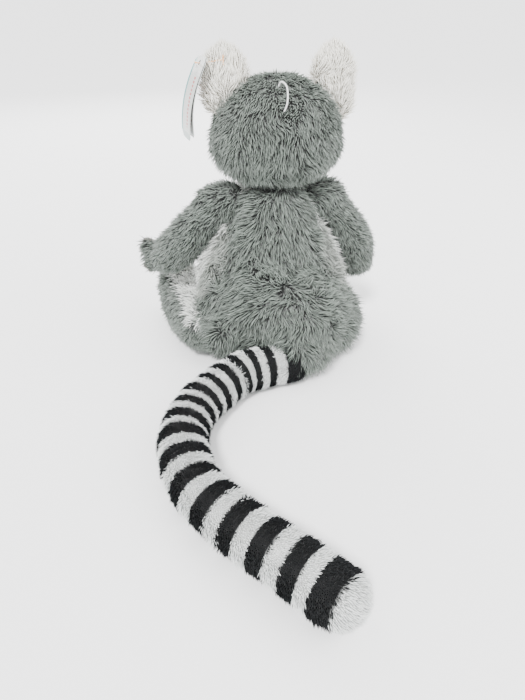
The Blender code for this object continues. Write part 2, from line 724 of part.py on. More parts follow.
def tube_curve(name, points, radius, material, pivot):
    curve = bpy.data.curves.new(name, "CURVE")
    curve.dimensions = "3D"
    curve.bevel_depth = radius
    curve.bevel_resolution = 2
    curve.use_fill_caps = True
    line = curve.splines.new("POLY")
    line.points.add(len(points) - 1)
    base = world_place(pivot)
    for point, place in zip(line.points, points):
        point.co = (*(Vector(place) - base), 1.0)
    curve.materials.append(material)
    tube = bpy.data.objects.new(name, curve)
    bpy.context.scene.collection.objects.link(tube)
    tube.parent = pivot
    return tube


def make_loop(materials, pivot):
    """The short nylon loop that the toy hangs by, out of the back of the head and in again."""
    last = len(LOOP_ROUTE) - 1
    middle_line = Vector((HEAD.x, 0, 0))
    places = spread(0, last, last * LOOP_STEPS + 1)
    route = [Vector(spline(LOOP_ROUTE, where)) + middle_line for where in places]
    tube_curve("hanging_loop", route, LOOP_RADIUS, materials["nylon"], pivot)


# ================================================================ ears and tag


def build_ear(side, facing, materials, pivot):
    """Two pile panels sewn back to back, cut off at the head."""
    centre = Vector((HEAD.x + EAR_ASIDE[side] * facing, EAR_DEPTH, EAR_HEIGHT))
    turn = Matrix.Rotation(EAR_LEAN * facing, 3, "Y")
    clear = make_cutter(f"{side}_ear_room", head_solid(-EAR_ROOM))
    made = []
    for name, sign in (("back", 1.0), ("front", -1.0)):
        bm = ellipsoid_mesh(centre, EAR_HALF, 18, 10, turn)
        place = centre + BACK * (sign * GAP / 2)
        whole = [*bm.verts, *bm.edges, *bm.faces]
        facing_out = BACK * sign
        done = bmesh.ops.bisect_plane(bm, geom=whole, plane_co=place, plane_no=facing_out, clear_inner=True)
        rim = [item for item in done["geom_cut"] if isinstance(item, bmesh.types.BMEdge)]
        bmesh.ops.holes_fill(bm, edges=rim)
        panel = make_object(f"{side}_ear_{name}_panel", bm, materials["white"], pivot)
        cut(panel, clear)
        made.append(panel)
    return made


def tag_point(down, across):
    """A point of the bowed card's middle surface, down from its top edge and across it."""
    bow = TAG_BOW * (1 - (2 * down / TAG_DROP - 1) ** 2)
    sideways = down * math.sin(TAG_LEAN) + bow
    drop = down * math.cos(TAG_LEAN)
    turn = Matrix.Rotation(TAG_TURN, 3, "Z")
    return TAG_TOP + turn @ Vector((sideways, across, -drop))


def build_tag(materials, pivot):
    bm = bmesh.new()
    turn = Matrix.Rotation(TAG_TURN, 3, "Z")
    outward = turn @ Vector((math.cos(TAG_LEAN), 0, math.sin(TAG_LEAN)))
    sections = []
    for down in spread(0.0, TAG_DROP, TAG_STEPS):
        corners = []
        for across, face in ((-1, -1), (1, -1), (1, 1), (-1, 1)):
            point = tag_point(down, across * TAG_WIDTH / 2) + outward * (face * TAG_THICK / 2)
            corners.append(point)
        sections.append(corners)
    made = add_rings(bm, sections)
    bm.faces.new(made[0])
    bm.faces.new(made[-1])
    tag = make_object("hang_tag", bm, materials["card"], pivot)
    hole = tag_point(TAG_HOLE_DROP, 0.0)
    overrun = outward * (TAG_THICK / 2 + BORE_OVERRUN)
    cut(tag, make_cutter("tag_hole", rod_mesh(hole - overrun, hole + overrun, TAG_HOLE)))


def build_fastener(materials, pivot, ear_panels):
    """The thin plastic fastener: a bar behind the ear, a filament through ear and card, a bar outside."""
    hole = tag_point(TAG_HOLE_DROP, 0.0)
    outside = hole + FASTENER_OUTSIDE
    rows = (tuple(FASTENER_START), *FASTENER_BENDS, tuple(hole), tuple(outside))
    route = [spline(rows, where) for where in spread(0, len(rows) - 1, 12)]
    fastener = make_object("tag_fastener", tube_mesh(route, FASTENER_RADIUS), materials["fastener"], pivot)
    for name, centre, half in (
        ("inner_bar", FASTENER_START, UP * FASTENER_BARS[0]),
        ("outer_bar", outside, BACK * FASTENER_BARS[1]),
    ):
        bar = rod_mesh(centre - half, centre + half, FASTENER_RADIUS * 1.5, 10)
        cut(fastener, make_cutter(name, bar), "UNION")
    slot_start = FASTENER_START + FASTENER_SLOT_START
    slot = make_cutter("fastener_slot", rod_mesh(slot_start, FASTENER_SLOT_END, FASTENER_SLOT_RADIUS, 10))
    for panel in ear_panels:
        cut(panel, slot)


# ================================================================ limbs


def build_arm(side, rows, materials, pivot):
    arm = Limb(rows, BACK, ARM_CAP)
    sleeve = make_object(f"{side}_arm_sleeve", arm.skin(), materials["grey"], pivot)
    palm = make_object(f"{side}_palm", arm.skin(), materials["velour"], pivot)
    make_object(f"{side}_arm_stuffing", arm.filling(), materials["stuffing"], pivot)
    reach, far = ARM_REACH, -PALM_DEPTH
    kept = arm.region(PALM_START_ROW, (-reach, 0, -reach), (reach, reach, far))
    cleared = arm.region(PALM_START_ROW, (-reach, -GAP, -reach), (reach, reach, far + GAP))
    cut(palm, make_cutter(f"{side}_palm_cloth", kept), "INTERSECT")
    cut(sleeve, make_cutter(f"{side}_palm_room", cleared))


def build_leg(side, rows, materials, pivot):
    leg = Limb(rows, UP, LEG_CAP)
    sleeve = make_object(f"{side}_leg_sleeve", leg.skin(), materials["grey"], pivot)
    sole = make_object(f"{side}_foot_sole", leg.skin(), materials["velour"], pivot)
    make_object(f"{side}_leg_stuffing", leg.filling(), materials["stuffing"], pivot)
    reach = LEG_REACH
    kept = leg.region(leg.end, (-reach, SOLE_OFFSET, -reach), (reach, reach, reach))
    cleared = leg.region(leg.end, (-reach, SOLE_OFFSET - GAP, -reach), (reach, reach, reach))
    cut(sole, make_cutter(f"{side}_sole_cloth", kept), "INTERSECT")
    cut(sleeve, make_cutter(f"{side}_sole_room", cleared))


# ================================================================ tail


def tail_rows():
    return [(x, y, TAIL_HEIGHT, TAIL_RADIUS, TAIL_RADIUS) for x, y in TAIL_ROUTE]


def tail_length(index):
    """The stuffed tube of one length of the tail; the root is length 0."""
    end = (*TAIL_JOINTS[1:], TAIL_END)[index]
    cap = TAIL_TIP_CAP if end == TAIL_END else TAIL_RADIUS
    return Limb(tail_rows(), UP, cap, TAIL_JOINTS[index], end, TAIL_RINGS, ball=index == 0)


def build_tail(materials, torso_pivot):
    """A root and five lengths of striped tube, each ending in a ball in the cup of the next."""
    parent = torso_pivot
    for index, start in enumerate(TAIL_JOINTS):
        name = "tail_root" if index == 0 else f"tail_{index}"
        place = Vector(spline(tail_rows(), start)[:3])
        parent = make_pivot(f"{name}_pivot", place, parent)
        length = tail_length(index)
        colour = materials["black"] if index == 0 else materials["tail"]
        sleeve = make_object(f"{name}_sleeve", length.skin(), colour, parent)
        filling = make_object(f"{name}_stuffing", length.filling(), materials["stuffing"], parent)
        if index > 0:
            cup = TAIL_RADIUS + BALL_GAP
            cut(sleeve, make_cutter(f"{name}_cup", sphere_mesh(place, cup)))
            cut(filling, make_cutter(f"{name}_stuffing_cup", sphere_mesh(place, cup + GAP)))


# ================================================================ the toy


def make_materials():
    return {
        "grey": make_material("grey_fur", GREY_FUR, 0.95),
        "white": make_material("white_fur", WHITE_FUR, 0.95),
        "black": make_material("black_fur", BLACK_FUR, 0.92),
        "tail": make_material("striped_fur", STRIPED_FUR, 0.93),
        "velour": make_material("taupe_velour", TAUPE_VELOUR, 0.90),
        "grey_cloth": make_material("grey_cloth", GREY_CLOTH, 0.92),
        "stuffing": make_material("polyester_stuffing", STUFFING, 0.98),
        "bag": make_material("bean_bag_cloth", BAG_CLOTH, 0.95),
        "dark_felt": make_material("dark_felt", DARK_FELT, 0.95),
        "eye": make_material("amber_eye", AMBER, 0.12),
        "nose": make_material("black_nose", BLACK_PLASTIC, 0.25),
        "washer": make_material("white_washer", WHITE_PLASTIC, 0.45),
        "nylon": make_material("white_nylon", WHITE_NYLON, 0.35),
        "fastener": make_material("orange_fastener", ORANGE_PLASTIC, 0.30),
        "card": make_material("tag_card", CARD, 0.40),
    }


def main():
    clear_scene()
    materials = make_materials()

    torso_pivot = make_pivot("torso_pivot", (0, 0, 0))
    torso_pieces = build_torso(materials, torso_pivot)
    carve_torso(*torso_pieces)

    neck_pivot = make_pivot("neck_pivot", NECK, torso_pivot)
    make_object("neck_stuffing", sphere_mesh(NECK, NECK_BALL), materials["stuffing"], neck_pivot)
    head_pivot = make_pivot("head_pivot", NECK, neck_pivot)
    build_head(materials, head_pivot)

    for side, facing in (("left", 1.0), ("right", -1.0)):
        foot = (EAR_HINGE_LOW + EAR_HINGE_HIGH) / 2
        foot_x = HEAD.x + (EAR_ASIDE[side] + foot.x) * facing
        ear_pivot = make_pivot(f"{side}_ear_pivot", (foot_x, foot.y, foot.z), head_pivot)
        panels = build_ear(side, facing, materials, ear_pivot)
        if side == "left":
            build_fastener(materials, ear_pivot, panels)
            tag_pivot = make_pivot("tag_pivot", tag_point(TAG_HOLE_DROP, 0.0), ear_pivot)
            build_tag(materials, tag_pivot)

    for side, (arm_rows, leg_rows) in LIMB_ROWS.items():
        shoulder_pivot = make_pivot(f"{side}_shoulder_pivot", arm_rows[0][:3], torso_pivot)
        build_arm(side, arm_rows, materials, shoulder_pivot)
        hip_pivot = make_pivot(f"{side}_hip_pivot", leg_rows[0][:3], torso_pivot)
        build_leg(side, leg_rows, materials, hip_pivot)

    build_tail(materials, torso_pivot)


main()
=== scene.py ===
"""Looks of a seated lemur plush toy: sewn skins filled by cloth pressure, and pile that stands on them.

Each stuffed body starts from the closed filling that the frame gives it.  Its skin is blown up by cloth
pressure, and the pile is real geometry: small curved tufts that grow on the skin, follow the way the
cloth was combed and gather in clumps.  Metres, +Z up, with the face towards -Y and the toy's left on +X.
"""

import json
import logging
import math
from dataclasses import dataclass, field
from enum import Enum
from typing import Any, Sequence

import bmesh
import bpy
import numpy as np
from mathutils import Matrix, Vector
from mathutils.bvhtree import BVHTree


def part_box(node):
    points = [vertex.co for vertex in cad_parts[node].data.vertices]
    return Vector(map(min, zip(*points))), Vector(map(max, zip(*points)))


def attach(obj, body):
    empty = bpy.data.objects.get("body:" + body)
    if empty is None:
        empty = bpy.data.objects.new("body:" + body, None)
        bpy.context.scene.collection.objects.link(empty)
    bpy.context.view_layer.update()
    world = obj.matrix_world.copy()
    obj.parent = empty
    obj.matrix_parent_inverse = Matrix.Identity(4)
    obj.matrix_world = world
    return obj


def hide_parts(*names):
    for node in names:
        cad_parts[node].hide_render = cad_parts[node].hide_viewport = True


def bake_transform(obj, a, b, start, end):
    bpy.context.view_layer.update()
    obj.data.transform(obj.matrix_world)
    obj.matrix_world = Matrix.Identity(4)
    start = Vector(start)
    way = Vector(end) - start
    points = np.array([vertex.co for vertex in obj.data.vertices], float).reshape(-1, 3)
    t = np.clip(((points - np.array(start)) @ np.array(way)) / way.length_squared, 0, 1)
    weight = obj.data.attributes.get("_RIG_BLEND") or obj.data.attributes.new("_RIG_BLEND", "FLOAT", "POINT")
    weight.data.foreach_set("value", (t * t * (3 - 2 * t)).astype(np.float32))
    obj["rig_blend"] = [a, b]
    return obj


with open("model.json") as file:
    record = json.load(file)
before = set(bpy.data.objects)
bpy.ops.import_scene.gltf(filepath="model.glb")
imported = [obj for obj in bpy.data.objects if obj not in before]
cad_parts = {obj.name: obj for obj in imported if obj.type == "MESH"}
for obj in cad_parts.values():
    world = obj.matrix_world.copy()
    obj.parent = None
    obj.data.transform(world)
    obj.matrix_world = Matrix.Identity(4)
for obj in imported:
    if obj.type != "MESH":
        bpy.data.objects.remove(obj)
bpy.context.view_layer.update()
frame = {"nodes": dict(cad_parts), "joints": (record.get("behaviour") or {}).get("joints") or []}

LOG = logging.getLogger("lemur")
Colour = tuple[float, float, float]
Point = tuple[float, float, float]

SEAT_CLEAR = 0.0005        # lowest height that a tuft keeps over the surface the toy sits on
SAME_PLACE = 1e-6          # corners closer than this are one
SHARP_EDGE = math.radians(40)
LAST_FRAME = 20            # of the simulation that fills the skins
UP = Vector((0.0, 0.0, 1.0))


# ================================================================ node helper


class Web:
    """Adds nodes to one tree, each with what goes into it."""

    def __init__(self, tree: bpy.types.NodeTree) -> None:
        """Take the tree that the nodes are for."""
        self.tree = tree

    def add(self, kind: str, inputs: dict[int | str, Any] | None = None, **settings: Any) -> bpy.types.Node:
        """Make a node.

        Args:
            kind: Blender's type name of the node.
            inputs: a socket or a plain value for each input that isn't left alone.
            **settings: the node's own properties.

        Returns:
            The new node.
        """
        node = self.tree.nodes.new(kind)
        for key, value in settings.items():
            setattr(node, key, value)
        for key, value in (inputs or {}).items():
            if isinstance(value, bpy.types.NodeSocket):
                self.tree.links.new(value, node.inputs[key])
            else:
                node.inputs[key].default_value = value
        return node

    def math(self, operation: str, first: Any, second: Any = 0.0) -> bpy.types.NodeSocket:
        """Join two numbers by a sum and return its socket."""
        return self.add("ShaderNodeMath", {0: first, 1: second}, operation=operation).outputs[0]

    def vector(self, operation: str, first: Any, second: Any = (0.0, 0.0, 0.0)) -> bpy.types.NodeSocket:
        """Join two vectors and return the result's socket."""
        node = self.add("ShaderNodeVectorMath", {0: first, 1: second}, operation=operation)
        return node.outputs["Value" if operation in ("DOT_PRODUCT", "LENGTH") else "Vector"]

    def times(self, vector: Any, number: Any) -> bpy.types.NodeSocket:
        """Scale a vector by a number."""
        node = self.add("ShaderNodeVectorMath", {0: vector, "Scale": number}, operation="SCALE")
        return node.outputs["Vector"]

    def blend(self, share: Any, first: Any, second: Any) -> bpy.types.NodeSocket:
        """Mix two colours and return the result's socket."""
        node = self.add("ShaderNodeMix", {"Factor": share}, data_type="RGBA")
        for key, value in ((6, first), (7, second)):
            if isinstance(value, bpy.types.NodeSocket):
                self.tree.links.new(value, node.inputs[key])
            else:
                node.inputs[key].default_value = (*value, 1.0)
        return node.outputs[2]

    def noise(self, place: Any, scale: float, detail: float = 2.0) -> bpy.types.Node:
        """Make a noise texture at a place."""
        return self.add("ShaderNodeTexNoise", {"Vector": place, "Scale": scale, "Detail": detail})


# ================================================================ finishes


def new_material(name: str) -> tuple[bpy.types.Material, Web, bpy.types.Node, bpy.types.NodeSocket]:
    """Start a procedural material.

    Args:
        name: the material's name.

    Returns:
        The material, its web of nodes, its Principled shader and a socket of object coordinates.
    """
    material = bpy.data.materials.new(name)
    material.use_nodes = True
    web = Web(material.node_tree)
    shader = material.node_tree.nodes["Principled BSDF"]
    place = web.add("ShaderNodeTexCoord").outputs["Object"]
    return material, web, shader, place


def add_bump(web: Web, shader: bpy.types.Node, height: Any, strength: float, distance: float) -> None:
    """Press a height pattern into a shader's normal."""
    bump = web.add("ShaderNodeBump", {"Height": height, "Strength": strength, "Distance": distance})
    web.tree.links.new(bump.outputs["Normal"], shader.inputs["Normal"])


@dataclass(frozen=True)
class PileFinish:
    """Pile fibres, painted darker at the root as painted shade deep in the pile; each tuft has a tone of its
    own.
    """

    name: str
    # painted shade: the colour at the root, darker than the fibre, for the shade deep in the pile
    root: Colour
    tip: Colour
    spread: float = 0.42
    roughness: float = 0.78
    sheen: float = 0.20

    def material(self) -> bpy.types.Material:
        """Build the material from the tufts' own attributes."""
        material, web, shader, place = new_material(self.name)
        along = web.add("ShaderNodeAttribute", attribute_name="along").outputs["Fac"]
        shade = web.add("ShaderNodeAttribute", attribute_name="shade").outputs["Fac"]
        patches = web.noise(place, 42.0).outputs["Fac"]
        fibres = web.noise(place, 2600.0, 1.0).outputs["Fac"]
        # from the root's painted shade up to the tip's colour
        rise = web.math("POWER", along, 1.1)
        colour = web.blend(rise, self.root, self.tip)
        uneven = web.math("MULTIPLY", web.math("SUBTRACT", shade, 0.5), 2.0 * self.spread)
        uneven = web.math("ADD", uneven, web.math("MULTIPLY", web.math("SUBTRACT", patches, 0.5), 0.25))
        uneven = web.math("ADD", uneven, web.math("MULTIPLY", web.math("SUBTRACT", fibres, 0.5), 0.35))
        level = web.math("ADD", uneven, 1.0)
        web.tree.links.new(web.times(colour, level), shader.inputs["Base Color"])
        rough = web.math("MULTIPLY", web.math("SUBTRACT", fibres, 0.5), 0.25)
        rough = web.math("ADD", rough, self.roughness)
        web.tree.links.new(rough, shader.inputs["Roughness"])
        shader.inputs["Sheen Weight"].default_value = self.sheen
        shader.inputs["Sheen Roughness"].default_value = 0.45
        shader.inputs["Specular IOR Level"].default_value = 0.25
        add_bump(web, shader, fibres, 0.35, 0.0003)
        return material


@dataclass(frozen=True)
class BackingFinish:
    """Knitted backing cloth that shows between tufts, in its pile's colour painted darker: painted shade deep
    between the tufts.
    """

    name: str
    colour: Colour
    other: Colour | None = None
    pitch: float = 0.0011

    def material(self) -> bpy.types.Material:
        """Build a fine knit, with the second colour where the skin's band attribute is high."""
        material, web, shader, place = new_material(self.name)
        base: Any = self.colour
        if self.other is not None:
            band = web.add("ShaderNodeAttribute", attribute_name="band").outputs["Fac"]
            base = web.blend(band, self.colour, self.other)
        knit = web.add(
            "ShaderNodeTexVoronoi", {"Vector": place, "Scale": 1.0 / self.pitch}, feature="F1"
        ).outputs["Distance"]
        patches = web.noise(place, 60.0).outputs["Fac"]
        level = web.math("ADD", web.math("MULTIPLY", knit, -0.35), web.math("ADD", patches, 0.55))
        if not isinstance(base, bpy.types.NodeSocket):
            base = (*base,)
        web.tree.links.new(web.times(base, level), shader.inputs["Base Color"])
        rough = web.math("ADD", web.math("MULTIPLY", patches, 0.15), 0.80)
        web.tree.links.new(rough, shader.inputs["Roughness"])
        shader.inputs["Sheen Weight"].default_value = 0.2
        add_bump(web, shader, knit, 0.5, 0.0004)
        return material


@dataclass(frozen=True)
class VelourFinish:
    """Short smooth velour, brushed lighter and darker in soft patches."""

    name: str
    colour: Colour
    light: Colour

    def material(self) -> bpy.types.Material:
        """Build the brushed nap."""
        material, web, shader, place = new_material(self.name)
        brushed = web.noise(place, 130.0, 4.0).outputs["Fac"]
        nap = web.noise(place, 2800.0, 2.0).outputs["Fac"]
        share = web.add("ShaderNodeMapRange", {0: brushed, 1: 0.36, 2: 0.66}).outputs[0]
        colour = web.blend(share, self.colour, self.light)
        level = web.math("ADD", web.math("MULTIPLY", nap, 0.5), 0.75)
        web.tree.links.new(web.times(colour, level), shader.inputs["Base Color"])
        rough = web.math("ADD", web.math("MULTIPLY", nap, 0.2), 0.72)
        web.tree.links.new(rough, shader.inputs["Roughness"])
        shader.inputs["Sheen Weight"].default_value = 0.55
        shader.inputs["Sheen Roughness"].default_value = 0.35
        add_bump(web, shader, nap, 0.45, 0.0004)
        return material


@dataclass(frozen=True)
class PlasticFinish:
    """Moulded plastic with a slight unevenness, and a coat where it is polished."""

    name: str
    colour: Colour
    roughness: float
    coat: float = 0.0
    grain: float = 0.0002

    def material(self) -> bpy.types.Material:
        """Build the plastic."""
        material, web, shader, place = new_material(self.name)
        grain = web.noise(place, 900.0, 3.0).outputs["Fac"]
        level = web.math("ADD", web.math("MULTIPLY", grain, 0.16), 0.92)
        web.tree.links.new(web.times(self.colour, level), shader.inputs["Base Color"])
        rough = web.math("ADD", web.math("MULTIPLY", grain, 0.12), self.roughness)
        web.tree.links.new(rough, shader.inputs["Roughness"])
        shader.inputs["Coat Weight"].default_value = self.coat
        shader.inputs["Coat Roughness"].default_value = 0.04
        add_bump(web, shader, grain, 0.12, self.grain)
        return material


@dataclass(frozen=True)
class EyeFinish:
    """A polished eye: a dark pupil, a radiating iris and a dark rim."""

    name: str
    centre: Point
    outward: Point
    pupil: float
    iris: float

    def material(self) -> bpy.types.Material:
        """Build the rings round the eye's own axis."""
        material, web, shader, place = new_material(self.name)
        from_centre = web.vector("SUBTRACT", place, self.centre)
        depth = web.vector("DOT_PRODUCT", from_centre, self.outward)
        flat = web.vector("SUBTRACT", from_centre, web.times(self.outward, depth))
        reach = web.vector("LENGTH", flat)
        rays = web.noise(web.vector("NORMALIZE", flat), 14.0, 3.0).outputs["Fac"]
        iris = web.blend(rays, (0.055, 0.014, 0.002), (0.270, 0.095, 0.010))
        edges = {1: self.iris * 0.86, 2: self.iris}
        rim = web.add("ShaderNodeMapRange", {0: reach, **edges}).outputs[0]
        edges = {1: self.pupil * 0.94, 2: self.pupil * 1.06}
        opening = web.add("ShaderNodeMapRange", {0: reach, **edges}).outputs[0]
        colour = web.blend(opening, (0.004, 0.004, 0.005), web.blend(rim, iris, (0.02, 0.012, 0.008)))
        web.tree.links.new(colour, shader.inputs["Base Color"])
        shader.inputs["Roughness"].default_value = 0.10
        shader.inputs["Coat Weight"].default_value = 1.0
        shader.inputs["Coat Roughness"].default_value = 0.02
        return material


@dataclass(frozen=True)
class NylonFinish:
    """A soft twisted strand, with its turns running round the cord's own length."""

    name: str = "nylon_strand"
    colour: Colour = (0.86, 0.87, 0.86)
    turns: float = 34.0

    def material(self) -> bpy.types.Material:
        """Build the twist from the strand's own map."""
        material, web, shader, _ = new_material(self.name)
        flat = web.add("ShaderNodeTexCoord").outputs["UV"]
        parts = web.add("ShaderNodeSeparateXYZ", {0: flat})
        slant = web.math("ADD", web.math("MULTIPLY", parts.outputs[0], self.turns), parts.outputs[1])
        wave = web.math("SINE", web.math("MULTIPLY", slant, 2.0 * math.pi))
        level = web.math("ADD", web.math("MULTIPLY", wave, 0.12), 0.86)
        web.tree.links.new(web.times(self.colour, level), shader.inputs["Base Color"])
        shader.inputs["Roughness"].default_value = 0.42
        shader.inputs["Sheen Weight"].default_value = 0.3
        add_bump(web, shader, wave, 0.5, 0.0003)
        return material


@dataclass(frozen=True)
class Mark:
    """A plain printed mark on a card: its edges across and down the leaf, and its dashes' pitch."""

    across: tuple[float, float]
    down: tuple[float, float]
    ink: Colour
    pitch: float = 0.0


@dataclass(frozen=True)
class CardFinish:
    """A coated card leaf with plain printed marks."""

    name: str
    paper: Colour
    marks: tuple[Mark, ...] = ()

    def material(self) -> bpy.types.Material:
        """Build the marks from the leaf's own map, which counts metres across and down the card."""
        material, web, shader, place = new_material(self.name)
        flat = web.add("ShaderNodeUVMap", uv_map="leaf").outputs["UV"]
        parts = web.add("ShaderNodeSeparateXYZ", {0: flat})
        colour: Any = self.paper
        for mark in self.marks:
            cover: Any = 1.0
            for value, edges in ((parts.outputs[0], mark.across), (parts.outputs[1], mark.down)):
                cover = web.math("MULTIPLY", cover, web.math("GREATER_THAN", value, edges[0]))
                cover = web.math("MULTIPLY", cover, web.math("LESS_THAN", value, edges[1]))
            if mark.pitch:
                turn = web.math("FRACT", web.math("DIVIDE", parts.outputs[1], mark.pitch))
                cover = web.math("MULTIPLY", cover, web.math("LESS_THAN", turn, 0.66))
            colour = web.blend(cover, colour, mark.ink)
        fleck = web.noise(place, 1500.0, 3.0).outputs["Fac"]
        level = web.math("ADD", web.math("MULTIPLY", fleck, 0.10), 0.95)
        web.tree.links.new(web.times(colour, level), shader.inputs["Base Color"])
        rough = web.math("ADD", web.math("MULTIPLY", fleck, 0.12), 0.30)
        web.tree.links.new(rough, shader.inputs["Roughness"])
        shader.inputs["Coat Weight"].default_value = 0.25
        add_bump(web, shader, fleck, 0.08, 0.0001)
        return material


# The first colour of each pile is its root's painted shade, deep in the pile; the second is its tip.
GREY_PILE = PileFinish("grey_pile", (0.009, 0.011, 0.009), (0.262, 0.305, 0.268))
# painted shade: a greyer pile for the white fur in the shade under the arms and along the side seams
SIDE_SHADE_PILE = PileFinish("seam_shade_pile", (0.10, 0.11, 0.10), (0.42, 0.45, 0.41), spread=0.3)
WHITE_PILE = PileFinish("white_pile", (0.62, 0.64, 0.60), (0.90, 0.92, 0.89), spread=0.10)
EAR_PILE = PileFinish("ear_pile", (0.80, 0.77, 0.69), (0.96, 0.94, 0.87), spread=0.06)
BLACK_PILE = PileFinish(
    "black_pile", (0.0012, 0.0016, 0.0020), (0.0060, 0.0075, 0.0085), spread=0.35, sheen=0.02
)
TAIL_WHITE_PILE = PileFinish("tail_white_pile", (0.52, 0.54, 0.53), (0.94, 0.96, 0.95), spread=0.10)
PATCH_PILE = PileFinish("eye_patch_pile", (0.003, 0.003, 0.003), (0.011, 0.011, 0.012), sheen=0.04)
SNOUT_PILE = PileFinish("snout_pile", (0.008, 0.008, 0.009), (0.030, 0.031, 0.032), sheen=0.06)
# painted shade: each backing is painted darker than its pile, the grey nearly black, for the shade between
# the tufts
GREY_BACKING = BackingFinish("grey_backing", (0.010, 0.012, 0.010))
WHITE_BACKING = BackingFinish("white_backing", (0.86, 0.85, 0.79))
TWO_TONE_BACKING = BackingFinish("two_tone_backing", (0.010, 0.012, 0.010), (0.62, 0.63, 0.60))
MUZZLE_BACKING = BackingFinish("muzzle_backing", (0.42, 0.43, 0.41), (0.020, 0.021, 0.022))
PATCH_BACKING = BackingFinish("patch_backing", (0.012, 0.012, 0.013))
TAIL_BACKING = BackingFinish("tail_backing", (0.62, 0.63, 0.62), (0.002, 0.0025, 0.003))
SEAT_CLOTH = BackingFinish("seat_cloth", (0.085, 0.095, 0.085), pitch=0.0016)
VELOUR = VelourFinish("taupe_velour", (0.125, 0.116, 0.104), (0.205, 0.192, 0.174))
DARK_THREAD = PlasticFinish("dark_thread", (0.020, 0.018, 0.017), 0.75)
TAUPE_THREAD = PlasticFinish("taupe_thread", (0.085, 0.078, 0.070), 0.75)
NOSE_PLASTIC = PlasticFinish("nose_plastic", (0.004, 0.004, 0.005), 0.26, coat=0.4, grain=0.0006)
WASHER_PLASTIC = PlasticFinish("washer_plastic", (0.74, 0.74, 0.72), 0.42)
FASTENER_PLASTIC = PlasticFinish("fastener_plastic", (0.80, 0.40, 0.16), 0.28, coat=0.3)


# ================================================================ how each sort of pile stands


@dataclass(frozen=True)
class PileCut:
    """One sort of pile; lengths in metres, rise from 0, lying flat, to 1, upright."""

    spacing: float
    length: float
    spread: float
    thickness: float
    rise: float
    clump: float
    pull: float
    swirl: float
    swirl_pull: float
    curl: float


class Cut(Enum):
    """The sorts of pile on the toy."""

    BODY = PileCut(0.00150, 0.0102, 0.42, 0.082, 0.70, 0.0050, 1.75, 0.024, 1.30, 0.50)
    HEAD = PileCut(0.00145, 0.0080, 0.38, 0.098, 0.72, 0.0046, 1.55, 0.024, 0.85, 0.48)
    LIMB = PileCut(0.00145, 0.0072, 0.38, 0.108, 0.68, 0.0046, 1.50, 0.024, 0.80, 0.48)
    EAR = PileCut(0.00125, 0.0078, 0.30, 0.095, 0.78, 0.0050, 1.30, 0.018, 0.60, 0.60)
    FACE = PileCut(0.00125, 0.0048, 0.22, 0.130, 0.55, 0.0050, 0.45, 0.030, 0.15, 0.30)
    SNOUT = PileCut(0.00110, 0.0030, 0.20, 0.170, 0.50, 0.0040, 0.35, 0.030, 0.10, 0.25)
    TAIL = PileCut(0.00110, 0.0044, 0.24, 0.140, 0.80, 0.0040, 0.70, 0.025, 0.25, 0.35)
    TIP = PileCut(0.00115, 0.0048, 0.25, 0.120, 0.76, 0.0045, 0.80, 0.025, 0.25, 0.40)


def float_socket(tree: bpy.types.NodeTree, name: str) -> str:
    """Add a number to what a geometry tree takes, and return the name itself."""
    tree.interface.new_socket(name=name, in_out="INPUT", socket_type="NodeSocketFloat")
    return name


